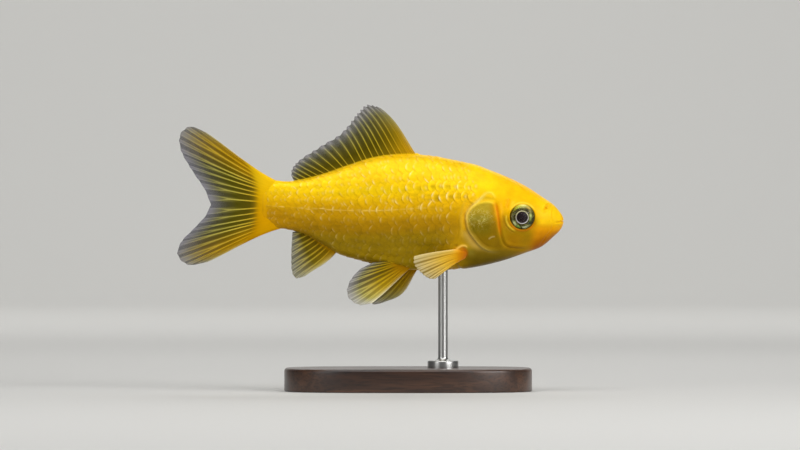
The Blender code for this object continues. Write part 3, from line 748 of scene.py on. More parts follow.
# Roots and margins are the solids' own, and "parts" are fans that make one fin. "lean" says where a ray that
# starts at one share of the root ends on the margin, and "bunch" packs the rays towards the leading edge.
fins = {
    "dorsal_fin": {
        "parts": [{
            "root": ((36.8, 0, 15.2), (44, 0, 15.2), (56, 0, 12.2), (68.4, 0, 8.6)),
            "margin": ((47.9, 0, 29.4), (50.9, 0, 29.9), (53.4, 0, 27.6), (57.4, 0, 22.7), (63, 0, 19.1),
                       (67.8, 0, 16.0), (69.9, 0, 13.9), (70.45, 0, 11.9), (69.7, 0, 10.2)),
            "bow": (-0.9, 0, 0.5), "rays": 21,
        }],
        "lean": ((0, 0), (0.33, 0.25), (0.46, 0.39), (0.58, 0.58), (0.74, 0.81), (1, 1)),
        "bunch": 0.0, "bowPower": 2, "rows": 90, "kind": "dorsal",
    },
    "anal_fin": {
        "parts": [{
            "root": ((57.9, 0, -7.1), (62.6, 0, -4.6), (66.8, 0, -2.4)),
            "margin": ((66.9, 0, -14.5), (69.3, 0, -14.9), (70.3, 0, -12.8), (70.4, 0, -8), (70.1, 0, -3.0)),
            "bow": (0, 0, -0.9), "rays": 9,
        }],
        "bunch": 0.1, "bowPower": 1, "rows": 60, "kind": "anal",
    },
    "tail_fin": {
        "parts": [{
            "root": ((71.5, 0, 9.2), (76.6, 0, 7.4), (77.6, 0, 4.15)),
            "margin": ((92.6, 0, 22.9), (96.6, 0, 24.3), (99.2, 0, 22.1), (98.9, 0, 18.0), (96.0, 0, 12.8),
                       (92.9, 0, 8.2), (91.3, 0, 4.25)),
            "bow": (0.2, 0, -0.9), "rays": 11,
        }, {
            "root": ((71.5, 0, -1.75), (76.6, 0, 0.6), (77.6, 0, 3.95)),
            "margin": ((92.3, 0, -10.85), (97.0, 0, -11.5), (99.8, 0, -9.0), (98.9, 0, -5.6),
                       (95.5, 0, -2.0), (92.6, 0, 1.2), (91.3, 0, 3.95)),
            "bow": (0.2, 0, 0.7), "rays": 10,
        }],
        "bunch": 0.32, "bowPower": 1, "rows": 100, "kind": "tail",
    },
    "pelvic_fin_right": {
        "parts": [{
            "root": ((38.9, -1.6, -11.7), (42.6, -2.3, -10.2)),
            "margin": ((49.6, -7.0, -21.3), (53.0, -7.4, -21.7), (55.7, -7.2, -19.6), (55.6, -6.6, -16.4),
                       (53.0, -5.6, -12.9), (49.4, -4.6, -10.9)),
            "bow": (0.3, 0, -0.6), "rays": 9,
        }],
        "bunch": 0.15, "bowPower": 2, "rows": 60, "kind": "pelvic",
    },
    "pelvic_fin_left": {
        "parts": [{
            "root": ((37.1, 1.5, -11.8), (41.6, 2.3, -10.3)),
            "margin": ((44.8, 7.0, -20.5), (49.0, 8.0, -21.8), (51.8, 8.0, -20.0), (52.6, 7.4, -17.2),
                       (51.2, 6.4, -14.2), (48.6, 5.4, -11.8)),
            "bow": (-1.0, 0.3, -0.9), "rays": 9,
        }],
        "bunch": 0.15, "bowPower": 2, "rows": 60, "kind": "pelvic",
    },
    "pectoral_fin_right": {
        "parts": [{
            "root": ((24.6, -4.9, -6.9), (26.4, -4.1, -9.8)),
            "margin": ((38.8, -12.6, -9.2), (38.6, -12.8, -11.4), (36.6, -12.4, -13.7), (34.8, -11.6, -14.9),
                       (33.2, -10.9, -15.0)),
            "bow": (0, -0.9, 0.2), "rays": 9,
        }],
        "bunch": 0.0, "bowPower": 2, "rows": 60, "kind": "pectoral",
    },
}
pectoral = fins["pectoral_fin_right"]["parts"][0]
mirrored = {name: np.array(pectoral[name]) * (1, -1, 1) for name in ("root", "margin", "bow")}
fins["pectoral_fin_left"] = {**fins["pectoral_fin_right"], "parts": [{**pectoral, **mirrored}]}

finLooks = {
    # "half" has half the thickness of the root, of a ray near it and at the margin, and of the skin between,
    # in millimetres, and "rayWidth" is in millimetres too; "notch" is how far the margin is drawn in between
    # rays, "flesh" how far flesh covers them and "fork" where they part, all as shares of their length;
    # "branch" is how far the skin beside a parted ray takes its colour and "tips" how pale the ray tips are;
    # colours run along the rays; "front" is where the front's own colours end, as shares of the rays
    "dorsal": {
        "half": (0.5, 0.22, 0.11, 0.05), "notch": 0.032, "flesh": 0.06, "fork": 0.78, "rayWidth": 0.14,
        "web": ((0.1, "#6E5E08"), (0.4, "#50460A"), (0.75, "#4C4822"), (0.97, "#66655E")),
        "ray": ((0.1, "#B4961A"), (0.5, "#B5A22C"), (0.8, "#A09A5E"), (0.97, "#A4A29A")),
        "frontWeb": ((0.2, "#A8840A"), (0.45, "#74600A"), (0.8, "#625A22"), (0.97, "#6E6D64")),
        "frontRay": ((0.2, "#D0A010"), (0.5, "#B08E12"), (0.8, "#9A9048"), (0.97, "#9E9C8E")),
        "front": (0.02, 0.3), "dense": 1.6, "branch": 0.25, "webAlpha": (0.98, 0.72),
        "edge": ("#E9DFA8", 0.35), "fleshTint": "#EEC40E", "joints": 0.06, "tips": 0.5,
    },
    "anal": {
        "half": (0.5, 0.22, 0.11, 0.05), "notch": 0.012, "flesh": 0.12, "fork": 0.5, "rayWidth": 0.22,
        "web": ((0.1, "#7A6008"), (0.5, "#5E5010"), (0.95, "#6E6C58")),
        "ray": ((0.1, "#BE930A"), (0.5, "#A8942A"), (0.95, "#A8A47C")),
        "frontWeb": ((0.1, "#8E6E06"), (0.5, "#7C6A16"), (0.95, "#8E8A66")),
        "frontRay": ((0.1, "#C89A0A"), (0.5, "#BCA63A"), (0.95, "#BDB78E")),
        "front": (0.05, 0.4), "dense": 0.8, "branch": 0.4, "webAlpha": (0.98, 0.72),
        "edge": ("#F0E9C0", 0.75), "fleshTint": "#BE8C08", "joints": 0.05, "tips": 0.3,
    },
    "tail": {
        "half": (1.2, 0.24, 0.11, 0.05), "notch": 0.008, "flesh": 0.13, "fork": 0.52, "rayWidth": 0.2,
        "web": ((0.08, "#C0940A"), (0.16, "#7E6810"), (0.26, "#5E520E"), (0.5, "#504A0E"), (0.75, "#4A472C"),
                (0.97, "#64636A")),
        "ray": ((0.1, "#DBAA0C"), (0.24, "#CDAC28"), (0.45, "#BCAE44"), (0.75, "#948F50"),
                (0.97, "#8C8A90")),
        "frontWeb": ((0.3, "#B88A08"), (0.5, "#8A6806"), (0.75, "#7A5E08"), (0.9, "#6A5A22"),
                     (1, "#6E6C66")),
        "frontRay": ((0.3, "#D8A208"), (0.5, "#CC9C0A"), (0.78, "#BE9C1E"), (0.95, "#AEA04E"),
                     (1, "#A09C8E")),
        "front": (0.15, 0.6), "dense": 1.8, "branch": 0.4, "webAlpha": (0.98, 0.7),
        "edge": ("#E9DFA4", 0.8), "fleshTint": "#E4AA06", "joints": 0.06, "tips": 0.3,
    },
    # pelvic: the rear rays and the skin between them are darker than the front ones, partly the fin's own
    # brown and partly painted shade from the body above
    "pelvic": {
        "half": (0.45, 0.22, 0.10, 0.05), "notch": 0.014, "flesh": 0.2, "fork": 0.5, "rayWidth": 0.27,
        "web": ((0.15, "#86640A"), (0.4, "#62500A"), (0.8, "#5C563A"), (0.97, "#7E7C7A")),
        "ray": ((0.15, "#A87E06"), (0.5, "#AE9218"), (0.8, "#A09A60"), (0.97, "#ACAAA2")),
        "frontWeb": ((0.15, "#B8880A"), (0.5, "#AE8E14"), (0.8, "#9C9244"), (0.97, "#AEAC98")),
        "frontRay": ((0.15, "#D6A00A"), (0.5, "#D2AE20"), (0.8, "#C8BC64"), (0.97, "#D2CFB6")),
        "front": (0.08, 0.6), "dense": 0.8, "branch": 0.4, "webAlpha": (0.98, 0.76),
        "edge": ("#FFF6CC", 0.95), "fleshTint": "#A87806", "joints": 0.04, "tips": 0.3,
    },
    "pectoral": {
        "half": (1.05, 0.16, 0.08, 0.05), "notch": 0.012, "flesh": 0.27, "fork": 0.7, "rayWidth": 0.34,
        "web": ((0.2, "#D9980C"), (0.5, "#A87F16"), (0.95, "#8E7A3E")),
        "ray": ((0.2, "#E6A812"), (0.5, "#DDB23A"), (0.95, "#CDB87A")),
        "frontWeb": ((0.2, "#E0A010"), (0.5, "#C89C26"), (0.95, "#A8935A")),
        "frontRay": ((0.2, "#F2BC34"), (0.5, "#EAC45A"), (0.95, "#DCC98C")),
        "front": (0.05, 0.3), "dense": 0.5, "branch": 0.3, "webAlpha": (1.0, 0.84),
        "edge": ("#F8E29A", 0.7), "fleshTint": "#E09A0A", "joints": 0.0, "tips": 0.2,
    },
}
finGrowth = {
    "raySamples": 20,  # points across one ray
    "uneven": 0.1,  # of the rays' spacing
    "shades": 0.08,  # how much their colours differ
    "frontLines": 3,  # fine lines in each of the unbranched front rays
    "lineDepth": 0.4,
    "joint": 0.7,  # length of a ray's joints
    "leastHalf": 0.012,
}


# Rays across a fin, from 0 between them to 1 on them: a bell for each ray, which narrows and parts in two
# from its fork on.
def rayHeight(w, reach, fork, width):
    apart = 0.20 * ramp(fork, fork + 0.35, reach)
    width = width - 0.4 * width * ramp(fork, 1.0, reach)
    return np.maximum(bell(w, -apart, width), bell(w, apart, width))


# The fan of a fin: straight lines from shares of the root's smooth path to shares of the margin's, with a
# bow that is fullest two thirds out, or one third with a power of 1, and fades behind the leading edge.
def makeFan(part, fin, share, reach):
    spread = np.linspace(0, 1, pathSamples)
    tipShare = np.interp(share, *np.array(fin["lean"], float).T) if "lean" in fin else share
    roots = readTable(share, spread, smoothPath(part["root"], pathSamples))
    tips = readTable(tipShare, spread, smoothPath(part["margin"], pathSamples))
    power = fin["bowPower"]
    bend = reach ** power * (1 - reach) ** (3 - power) * 27 / 4
    point = roots[:, None] + (tips - roots)[:, None] * reach[..., None]
    point = point + ((1 - share[:, None]) ** 2 * bend)[..., None] * np.array(part["bow"])
    return point, np.linalg.norm(tips - roots, axis=1)


# One fan's points, ray heights, lengths along the rays, distances from the leading edge in rays and places
# across a ray. The margin is drawn in a little between the ray tips.
def fanFields(part, fin, look, reach):
    share = np.linspace(0, 1, part["rays"] * finGrowth["raySamples"] + 1)
    phase = part["rays"] * (share + fin["bunch"] * share * (1 - share))
    phase = phase + finGrowth["uneven"] * np.sin(math.pi * share) * np.sin(4.1 * phase + 1.0)
    t, w = np.broadcast_arrays(reach, (phase % 1 - 0.5)[:, None])
    evenFan = makeFan(part, fin, share, t)[0]
    spacing = np.linalg.norm(np.gradient(evenFan, axis=0), axis=-1) / np.gradient(phase)[:, None]
    height = rayHeight(w, t, look["fork"], look["rayWidth"] / np.maximum(spacing, 0.05))
    point, length = makeFan(part, fin, share, t * (1 - look["notch"] * np.sin(math.pi * w) ** 2 * t))
    return point, height, length[:, None] * t, phase[:, None] + 0 * t, w


# A fin's fans side by side as named fields: "lead" is the distance from the leading edge in rays, "across"
# the place across a ray and "reach" the place along it. A second fan runs to its own leading edge.
def finFields(fin, look):
    reach = np.linspace(0, 1, fin["rows"])
    fans = [fanFields(part, fin, look, reach) for part in fin["parts"]]
    fans[1:] = [[field[::-1] for field in fan] for fan in fans[1:]]
    names = ("point", "height", "length", "lead", "across")
    at = {name: np.concatenate(fields) for name, fields in zip(names, zip(*fans))}
    at["reach"] = np.broadcast_to(reach, at["height"].shape)
    at["spine"] = np.exp(-at["lead"] / 0.9)  # the stiff first ray
    return at


# Flesh over the root of a fin: how far it covers, how far it swells the root, and its colour.
def finFlesh(kind, look, at):
    back, up = at["point"][..., 0], at["point"][..., 2]
    covers = ramp(look["flesh"] + 0.07, look["flesh"] * 0.5, at["reach"])
    swell = ramp(look["flesh"] + 0.2, 0.0, at["reach"])
    tint = linear(look["fleshTint"])
    if kind == "tail":
        covers = ramp(1.5, -1.1, back - (78.9 + 4.2 * np.exp(-at["lead"] / 3.0) + 0.5 * at["height"]))
        swell = ramp(83.5, 77.5, back)
        tint = colourRun(up, tailRootColours) * (1 - 0.4 * ramp(76.5, 83, back))[..., None]
    if kind == "pectoral":
        # the pectoral's flesh darkens towards its front with the same painted shade as the skin ahead of it
        tint = colourRun(back, ((25.2, "#B4600A"), (26.4, "#C87208"), (28.6, look["fleshTint"])))
    if kind == "dorsal":
        covers = ramp(0.35, -0.15, up - smoothLine(body["backLine"], back))
    return covers, swell, tint


# Half the thickness of a fin: from the skin's to the ray's by the height of the rays, more where the root
# swells, and rounded off at the edges.
def finHalf(fin, look, at, flesh, swell):
    reach, spine = at["reach"], at["spine"]
    rootHalf, rayHalf, tipHalf, webHalf = look["half"]
    ray = np.maximum(at["height"], 0.85 * spine)
    ray = ray + (1 - ray) * ramp(0, 0.8, flesh)
    half = webHalf + (rayHalf + (tipHalf - rayHalf) * reach - webHalf) * ray
    if fin["kind"] == "pectoral":
        half = half * quarterRound(reach, 0.1)
    half = half * (1 + 0.5 * spine * (1 - reach)) + (rootHalf - rayHalf) * swell
    half = half * quarterRound(at["lead"], 0.35 + (8 if fin["kind"] == "tail" else 3) * rootHalf * swell)
    if len(fin["parts"]) == 1:
        half = half * quarterRound(fin["parts"][0]["rays"] - at["lead"], 0.25 + 3 * rootHalf * swell)
    return np.maximum(half, finGrowth["leastHalf"])


# The colours of a fin, with how far they cover as a fourth channel: dense flesh, brighter rays with joints,
# and see-through skin that greys towards the margin.
def finTint(fin, look, at, flesh, fleshTint):
    reach, lead, fromMiddle = at["reach"], at["lead"], np.abs(at["across"])
    full, gone = (share * fin["parts"][0]["rays"] for share in look["front"])
    front = ramp(gone, full, lead)
    web = blendTo(colourRun(reach, look["web"]), colourRun(reach, look["frontWeb"]), front)
    rayTint = blendTo(colourRun(reach, look["ray"]), colourRun(reach, look["frontRay"]), front)
    rayNumber = np.floor(lead)
    jointed = np.cos((at["length"] / finGrowth["joint"] + 0.37 * rayNumber) * 2 * math.pi)
    shades = 1 + finGrowth["shades"] * np.sin(2.7 * rayNumber + 0.8)
    shades = shades - look["joints"] * ramp(0.6, 1.0, jointed) * ramp(0.3, 0.5, reach)
    rayTint = rayTint * shades[..., None]
    web = blendTo(web, rayTint, look["branch"] * ramp(0.38, 0.12, fromMiddle) * ramp(0.35, 0.75, reach))
    dense = ramp(look["dense"] + 1.2, look["dense"] * 0.5, lead) * ramp(1.0, 0.75, reach)
    solid = np.maximum(ramp(0.25, 0.8, at["height"]), 0.9 * dense)
    lines = 0.5 - 0.5 * np.cos(lead * 2 * math.pi * finGrowth["frontLines"])
    edgeTint, edgeWeight = look["edge"]
    colour = wash(
        blendTo(web, rayTint, solid) * (1 - finGrowth["lineDepth"] * lines * dense * (1 - flesh))[..., None],
        ("#9A96A0", look["tips"] * ramp(0.36, 0.16, fromMiddle) * ramp(0.84, 0.96, reach)),
        (edgeTint, edgeWeight * np.exp(-lead / 0.28) * ramp(0.05, 0.4, reach)),
    )
    colour = blendTo(colour, fleshTint, 0.95 * flesh)
    webAlpha, tipAlpha = look["webAlpha"]
    alpha = webAlpha + (tipAlpha - webAlpha) * ramp(0.45, 1.0, reach)
    alpha = np.maximum(alpha, (0.98 - 0.15 * ramp(0.6, 1, reach)) * solid)
    alpha = np.maximum(alpha, np.maximum(flesh, 0.9 * at["spine"]))
    return np.concatenate([colour, alpha[..., None]], -1)


# A fin: two faces that stand off the fan by half the thickness, joined round their rim.
def makeFin(name, fin):
    look = finLooks[fin["kind"]]
    at = finFields(fin, look)
    point = at["point"]
    flesh, swell, fleshTint = finFlesh(fin["kind"], look, at)
    normal = unitVectors(np.cross(np.gradient(point, axis=0), np.gradient(point, axis=1)))
    normal *= np.sign(normal[..., 1].sum())
    off = normal * finHalf(fin, look, at, flesh, swell)[..., None]
    tint = finTint(fin, look, at, flesh, fleshTint)
    columns, rows = at["height"].shape
    count = columns * rows
    ring = rimOf(np.arange(count).reshape(columns, rows))
    after = np.roll(ring, -1)
    faces = gridFaces(columns, rows).tolist() + gridFaces(columns, rows, first=count, flip=True).tolist()
    faces += np.stack([after, ring, ring + count, after + count], -1).tolist()
    points = np.concatenate([point + off, point - off]).reshape(-1, 3)
    return addMesh(name + "_rays", toWorld(*points.T), faces, finMaterial, 60, np.concatenate([tint, tint]))


for finName, finShape in fins.items():
    finPiece = makeFin(finName, finShape)
    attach(finPiece, "root")
    if finName == "tail_fin":
        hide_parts("tail_fin_upper", "tail_fin_lower")
    else:
        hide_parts(finName)
    print("fin:", finName, len(finPiece.data.polygons), "faces")

# Eyes.

eye = {
    "sink": 0.75,  # how far its middle lies under the cheek
    "turnDegrees": 9.0,
    "pupil": 1.53,
    "pupilShift": (-0.16, -0.14),  # of pupil and ring from the eye's middle, towards the snout and up
    "ring": 1.75,
    "iris": 3.2,
    "cornea": 3.28,
    "corneaDepth": 1.86,
    "corneaEdge": 1.52,  # turn from the gaze to the cornea's edge, in radians
    "corneaInside": (0.965, 0.95),  # its inside's radius and depth, as shares of the outside's
    "lens": (0.62, 0.32, 1.6),  # depth of its foot, rise and radius
    "ringSwell": (0.66, 0.16),  # depth of its foot and rise
    "irisSlope": (0.62, -0.14),  # depth at the ring and fall towards the rim
    "irisRidge": (0.3, 2.87, 0.3),  # rise, radius and width
    "irisRim": (3.0, -0.4),  # radius from which it falls faster, and how much
    "rear": (0.08, 1.8),  # how far the ball reaches past the iris, and its depth behind
    "segments": 96,
}


# A round piece turned about an axis from a profile of (radius, distance along the axis) pairs, which starts
# and ends on the axis: points as (radius times sine, distance, radius times cosine), and faces.
def turnedPoints(profile, segments):
    radius, along = np.array(profile, float).T
    turn = np.linspace(0, 2 * math.pi, segments, endpoint=False)
    rings = np.stack([radius[1:-1, None] * np.sin(turn), along[1:-1, None] + 0 * turn,
                      radius[1:-1, None] * np.cos(turn)], -1)
    points = np.concatenate([rings.reshape(-1, 3), [[0, along[0], 0]], [[0, along[-1], 0]]])
    return points, closedFaces(len(rings), segments)


# Puts a turned piece where the eye is: depth runs outwards along the gaze, which leans towards the snout.
def placeEye(points, hand):
    eyeBack, eyeUp = marks["eye"]
    top, bottom, width, middle = section(eyeBack)
    reach = (eyeUp - middle) / (top - middle if eyeUp > middle else middle - bottom)
    power = body["fullness"][0] + body["fullness"][1] * reach
    cheek = width * math.sqrt(1 - reach ** 2) ** power
    lean = math.radians(eye["turnDegrees"])
    x, depth, z = points.T
    back = eyeBack - x * math.cos(lean) - depth * math.sin(lean)
    side = cheek - eye["sink"] + depth * math.cos(lean) - x * math.sin(lean)
    return toWorld(back, hand * side, eyeUp + z)


# Eyeball: black pupil under a bulging lens, thin pale ring, and a dark iris with green and gold flecks.
def makeEyeMaterial():
    material, tree, shader = newMaterial("irisAndPupil")
    tint = addNode(tree, "Attribute", attribute_name="tint")
    setInputs(tree, shader, {"Base Color": tint, "Roughness": 0.4, "Specular IOR Level": 0.2})
    return material


# Cornea: clear wet tissue, seen only by its gloss.
def makeCorneaMaterial():
    material, tree, shader = newMaterial("clearCornea")
    setInputs(tree, shader, {"Base Color": (0.02, 0.02, 0.02, 1), "Roughness": 0.03, "IOR": 1.4,
                             "Alpha": 0.05, "Coat Weight": 0.2, "Coat Roughness": 0.02})
    return material


# Patches of the iris: turn from the top towards the snout in radians, radius, both spreads and colour.
irisPatches = (
    # the first patch, the palest, is a painted highlight at the top of the gold crescent
    (0.05, 2.8, 0.34, 0.36, "#FFFB9A"), (-0.45, 2.75, 0.3, 0.3, "#DCE03C"),
    (0.62, 2.75, 0.2, 0.2, "#FFDA70"), (0.95, 2.5, 0.16, 0.22, "#BCB070"),
    (1.4, 2.25, 0.22, 0.26, "#DCE68A"), (1.85, 2.2, 0.24, 0.22, "#9CAE58"),
    (2.25, 2.5, 0.25, 0.3, "#24382A"), (2.94, 2.7, 0.32, 0.26, "#B4BC8C"),
    (-2.7, 2.75, 0.18, 0.35, "#6A9A3A"), (-2.2, 2.65, 0.24, 0.4, "#BCC488"),
    (-1.5, 2.75, 0.3, 0.3, "#6A6440"), (-0.75, 2.2, 0.3, 0.3, "#4A4224"),
    (1.6, 3.1, 0.7, 0.14, "#40220A"),
)


# Colour of the iris from its radius and turn: rings as steps, flecks as sums of sines round the eye, and
# soft patches as bells.
def eyeTint(points):
    x, z = points[:, 0], points[:, 2]
    radius, turn = np.hypot(x, z), np.arctan2(x, z)
    fleck = (np.sin(turn * 5 + 1.3 * np.sin(radius * 3) + 0.6) + np.sin(turn * 13 + 2 + radius * 4)
             + np.sin(turn * 29 + 5 * radius) * 0.7)
    below = np.abs(turn)  # 0 above the pupil and half a turn under it
    patches = [(patchColour, bell(turn, patchTurn, wide) * bell(radius, patchRadius, deep))
               for patchTurn, patchRadius, wide, deep, patchColour in irisPatches]
    colour = wash(
        np.zeros((len(x), 3)) + linear("#37310A"),
        ("#5E5C1A", 0.8 * ramp(-0.8, 1.0, fleck)),
        ("#98944E", 0.7 * ramp(0.6, 1.8, fleck) * bell(radius, 2.4, 0.6) * ramp(0.7, 1.5, below)),
        # the gold crescent at the top: the iris's own gold, brightened in part as painted highlight
        ("#F4DC34", bell(turn, -0.05, 0.6) * ramp(2.4, 2.7, radius)),
        *patches,
        ("#5E4C12", 0.4 * ramp(3.08, 3.2, radius) * ramp(0.9, 1.6, below)),
    )
    # the ring: cream above, whiter below and duller at its sides
    ringTint = blendTo(linear("#EAE2E6"), linear("#F8EEBC"), ramp(-1, 1, z))
    ringTint = ringTint * (1 - 0.25 * bell(below, 1.6, 0.7))[:, None]
    inside, outside = eye["pupil"], eye["ring"]
    onRing = ramp(inside - 0.03, inside + 0.04, radius) * ramp(outside, outside - 0.07, radius)
    colour = blendTo(colour, ringTint, onRing)
    return wash(colour, ("#1E1013", ramp(inside + 0.02, inside - 0.04, radius)))


# Both eyes. The eyeball's profile runs over the lens, its ring and the iris and round the back, with pupil
# and ring a little off its middle, and the cornea is a thin dome.
def makeEyes():
    pupil, ring, iris = eye["pupil"], eye["ring"], eye["iris"]
    lensFoot, lensRise, lensRadius = eye["lens"]
    ringFoot, ringRise = eye["ringSwell"]
    irisFoot, irisFall = eye["irisSlope"]
    ridgeRise, ridgeRadius, ridgeWidth = eye["irisRidge"]
    rimRadius, rimFall = eye["irisRim"]
    past, behind = eye["rear"]
    r = np.linspace(0, pupil, 12)
    lens = (r, lensFoot + lensRise * np.sqrt(1 - (r / lensRadius) ** 2))
    r = np.linspace(pupil, ring, 8)[1:]
    swell = (r, ringFoot + ringRise * np.sin(math.pi * (r - pupil) / (ring - pupil)))
    r = np.linspace(ring, iris, 30)[1:]
    ridge = (r, irisFoot + irisFall * (r - ring) + ridgeRise * bell(r, ridgeRadius, ridgeWidth)
             + rimFall * np.maximum(r - rimRadius, 0))
    turn = np.linspace(0, math.pi / 2, 14)
    rear = ((iris + past) * np.cos(turn), -behind * np.sin(turn))
    turn = np.linspace(0, eye["corneaEdge"], 26)
    dome = np.array([eye["cornea"] * np.sin(turn), eye["corneaDepth"] * np.cos(turn)]).T
    ball = np.concatenate([lens, swell, ridge, rear], axis=1).T
    dome = np.concatenate([dome, dome[::-1] * eye["corneaInside"]])
    eyeParts = (("eyeball", ball, makeEyeMaterial()), ("cornea", dome, makeCorneaMaterial()))
    for hand, label in ((-1, "right"), (1, "left")):
        for part, profile, material in eyeParts:
            points, faces = turnedPoints(profile, eye["segments"])
            tint = eyeTint(points)
            if part == "eyeball":
                near = ramp(2.9, 1.9, np.hypot(points[:, 0], points[:, 2])) * (points[:, 1] > 0)
                points[:, [0, 2]] += near[:, None] * np.array(eye["pupilShift"])
            if hand > 0:
                faces = [face[::-1] for face in faces]
            piece = addMesh(f"eye_{label}_{part}", placeEye(points, hand), faces, material, 50, tint)
            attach(piece, "root")
            if part == "eyeball":
                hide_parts(f"eye_{label}")


makeEyes()
print("eyes: made")

# Stand.

stand = {
    "cornerPower": 2.8,
    "edge": 0.8,
    "lowerEdge": 0.5,  # how round the lower edge is, as a share of the upper one
    "outlineSegments": 160,
    "rodRadius": 1.25,
    "rodSegments": 64,
    "footRadius": 4.0,
    "footHeight": 1.9,
    "footEdge": 0.4,
    "fillet": (0.35, 0.9),  # its width as a share of the foot's, and its height
}


# Walnut, planed, stained dark and varnished satin: long streaks of pores and soft growth bands.
def makeWoodMaterial():
    material, tree, shader = newMaterial("darkWalnut")
    place = addNode(tree, "TexCoord").outputs["Object"]
    stretched = addNode(tree, "Mapping", {"Vector": place, "Scale": (0.06, 1, 1)})
    bands = addNode(tree, "TexNoise", {"Vector": stretched, "Scale": 300, "Detail": 4, "Distortion": 0.6})
    pores = addNode(tree, "TexNoise", {"Vector": stretched, "Scale": 2200, "Detail": 2})
    brown = addNode(tree, "ValToRGB", {"Fac": bands})
    for stop, position, hexColour in zip(brown.color_ramp.elements, (0.3, 0.72), ("#2A1810", "#5A3A26")):
        stop.position = position
        stop.color = (*linear(hexColour), 1)
    dark = addNode(tree, "MapRange", {"Value": pores, "From Min": 0.35, "From Max": 0.5, "To Min": 0.55,
                                      "To Max": 1.0})
    mixed = addNode(tree, "VectorMath", {0: brown, 1: dark}, operation="MULTIPLY")
    bump = addNode(tree, "Bump", {"Height": dark, "Strength": 0.2, "Distance": 0.0001})
    setInputs(tree, shader, {"Base Color": mixed, "Normal": bump, "Roughness": 0.38, "Coat Weight": 0.4,
                             "Coat Roughness": 0.22})
    return material


# Stainless steel rod, polished with fine emery, so the light draws out along it.
def makeSteelMaterial():
    material, tree, shader = newMaterial("satinSteel")
    place = addNode(tree, "TexCoord").outputs["Object"]
    squashed = addNode(tree, "Mapping", {"Vector": place, "Scale": (1, 1, 0.1)})
    lines = addNode(tree, "TexNoise", {"Vector": squashed, "Scale": 1500, "Detail": 1})
    rough = addNode(tree, "MapRange", {"Value": lines, "To Min": 0.26, "To Max": 0.32})
    setInputs(tree, shader, {"Base Color": "#C9C9C6", "Metallic": 1.0, "Roughness": rough})
    return material


# The base: a superellipse outline carried up a profile of (inset, height) pairs with rounded edges, and
# shrinking rings over its top and bottom.
def makeBase(material):
    halfX, halfY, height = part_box("stand_base")[1]
    edge = stand["edge"] * unit
    corner = np.linspace(0, math.pi / 2, 7)
    falling, rising = edge * (1 - np.sin(corner)), edge * (1 - np.cos(corner))
    inset = np.concatenate([stand["lowerEdge"] * falling, rising])[:, None]
    levels = np.concatenate([stand["lowerEdge"] * rising, height - falling])[:, None]
    turn = np.linspace(0, 2 * math.pi, stand["outlineSegments"], endpoint=False)
    power = 2 / stand["cornerPower"]
    x, y = (np.sign(wave) * np.abs(wave) ** power for wave in (np.cos(turn), np.sin(turn)))
    rings = np.stack([(halfX - inset) * x, (halfY - inset) * y, levels + 0 * x], -1)
    shrunk = np.array([[[share, share, 1]] for share in (0.66, 0.33)])
    rings = np.concatenate([rings[0] * shrunk[::-1], rings, rings[-1] * shrunk])
    points = np.concatenate([rings.reshape(-1, 3), [[0, 0, 0], [0, 0, height]]])
    return addMesh("stand_base_walnut", points, closedFaces(*rings.shape[:2]), material, 50)


# The rod with its foot: a turned profile of (radius, height) pairs about the rod's own axis.
def makeRod(material):
    bottom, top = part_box("stand_rod")
    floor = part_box("stand_base")[1].z
    radius, foot, footEdge = (stand[name] * unit for name in ("rodRadius", "footRadius", "footEdge"))
    footTop = floor + stand["footHeight"] * unit
    wide, high = (foot - radius) * stand["fillet"][0], stand["fillet"][1] * unit
    fillet = [(radius + wide * (1 - math.sin(turn)), footTop + high * (1 - math.cos(turn)))
              for turn in np.linspace(0, math.pi / 2, 8)]
    roll = [(foot - footEdge * (1 - math.cos(turn)), footTop - footEdge * (1 - math.sin(turn)))
            for turn in np.linspace(0, math.pi / 2, 6)]
    profile = [(0, bottom.z), (radius, bottom.z), (radius, floor), (foot, floor + 0.02 * unit), *roll,
               *fillet, (radius, top.z), (0, top.z)]
    points, faces = turnedPoints(profile, stand["rodSegments"])
    y, height, x = points.T
    points = np.stack([(bottom.x + top.x) / 2 + x, y, height], -1)
    return addMesh("stand_rod_steel", points, faces, material, 35)


for standPiece, standNode, standSlot in (
    (makeBase(makeWoodMaterial()), "stand_base", "stand_wood"),
    (makeRod(makeSteelMaterial()), "stand_rod", "stand_steel"),
):
    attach(standPiece, "root")
    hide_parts(standNode)
print("stand: made")

# Floor, lights and camera.

studio = {
    "distance": 1.6,
    "frameWidth": 0.2067,  # width of the view at the fish, in metres
    "sensor": 36,
    "aim": (-0.0021, 0, 0.0429),
    "floorColour": "#D6D5D1",
    "floorReach": 2.5,  # to each side, to the front and up, in metres
    "curveStart": 1.7,
    "curveRadius": 0.9,
    # the lights that wash over the floor and the backdrop are aimed at targets of their own
    "lights": {  # place, size, power and target
        "key_above": ((-0.05, -0.24, 0.64), (0.7, 0.5), 3.0, None),
        "fill_front": ((0.62, -0.55, 0.34), (0.5, 0.4), 4.2, None),
        "fill_left": ((-0.6, -0.6, 0.30), (0.4, 0.4), 1.0, None),
        "rim_behind": ((0.05, 0.42, 0.36), (0.5, 0.16), 0.4, None),
        "floor_wash": ((0, 0.75, 1.0), (2.0, 0.3), 10.6, (0, 2.0, 0)),
        "backdrop_wash": ((0, 1.5, 1.4), (2.0, 0.3), 9.0, (0, 2.3, 0.1)),
    },
    "roomColour": (0.85, 0.87, 0.9, 1),
    "roomLight": 0.1,
}


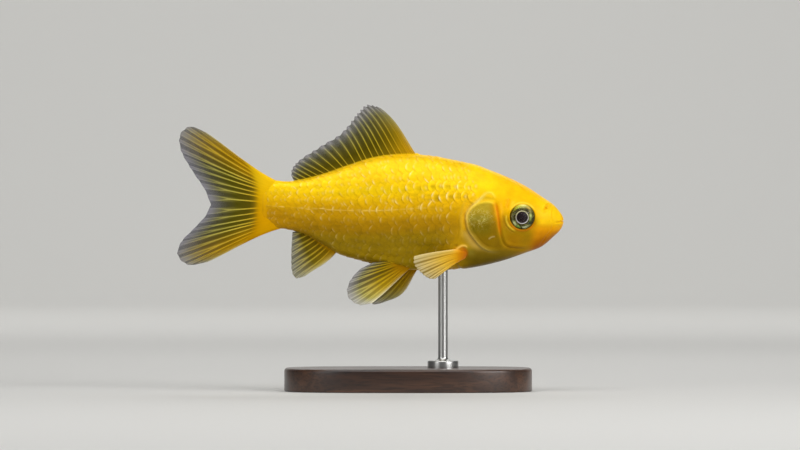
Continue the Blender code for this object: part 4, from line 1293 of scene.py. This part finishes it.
# Floor: a flat sheet that curves up behind the model, so that no horizon shows.
def makeFloor():
    material, tree, shader = newMaterial("paleStudioPaper")
    place = addNode(tree, "TexCoord").outputs["Object"]
    cloud = addNode(tree, "TexNoise", {"Vector": place, "Scale": 60, "Detail": 2})
    bump = addNode(tree, "Bump", {"Height": cloud, "Strength": 0.02, "Distance": 0.001})
    setInputs(tree, shader, {"Base Color": studio["floorColour"], "Normal": bump, "Roughness": 0.7})
    start, radius, reach = studio["curveStart"], studio["curveRadius"], studio["floorReach"]
    bend = np.linspace(0, math.pi / 2, 24)
    y = np.concatenate([[-reach, -0.5, 0.5], start + radius * np.sin(bend), [start + radius]])[:, None]
    z = np.concatenate([[0, 0, 0], radius * (1 - np.cos(bend)), [reach]])[:, None]
    x = np.linspace(-reach, reach, 3)
    points = np.stack([x + 0 * y, y + 0 * x, z + 0 * x], -1)
    floor = addMesh("studio_floor", points, gridFaces(len(y), len(x), flip=True).tolist(), material)


# An area light from a place in metres, aimed at the fish or at another target, and hidden from the camera.
def addLight(name, place, size, power, target):
    light = bpy.data.lights.new(name, "AREA")
    light.shape = "RECTANGLE"
    light.size, light.size_y = size
    light.energy = power
    lamp = bpy.data.objects.new(name, light)
    lamp.location = place
    direction = np.array(target or studio["aim"]) - np.array(place)
    lamp.rotation_euler = Vector(direction).to_track_quat("-Z", "Y").to_euler()
    lamp.visible_camera = False
    bpy.context.scene.collection.objects.link(lamp)


makeFloor()
for lightName, lightSettings in studio["lights"].items():
    addLight(lightName, *lightSettings)

world = bpy.data.worlds.new("softRoom")
world.use_nodes = True
setInputs(world.node_tree, world.node_tree.nodes["Background"], {"Color": studio["roomColour"],
                                                                 "Strength": studio["roomLight"]})
bpy.context.scene.world = world
bpy.context.scene.view_settings.view_transform = "Standard"

camera = bpy.data.cameras.new("camera")
camera.sensor_width = studio["sensor"]
camera.lens = studio["sensor"] * studio["distance"] / studio["frameWidth"]
camera.clip_start = 0.01
view = bpy.data.objects.new("camera", camera)
view.location = (studio["aim"][0], -studio["distance"], studio["aim"][2])
view.rotation_euler = (math.pi / 2, 0, 0)
bpy.context.scene.collection.objects.link(view)
bpy.context.scene.camera = view
print("studio: ready")
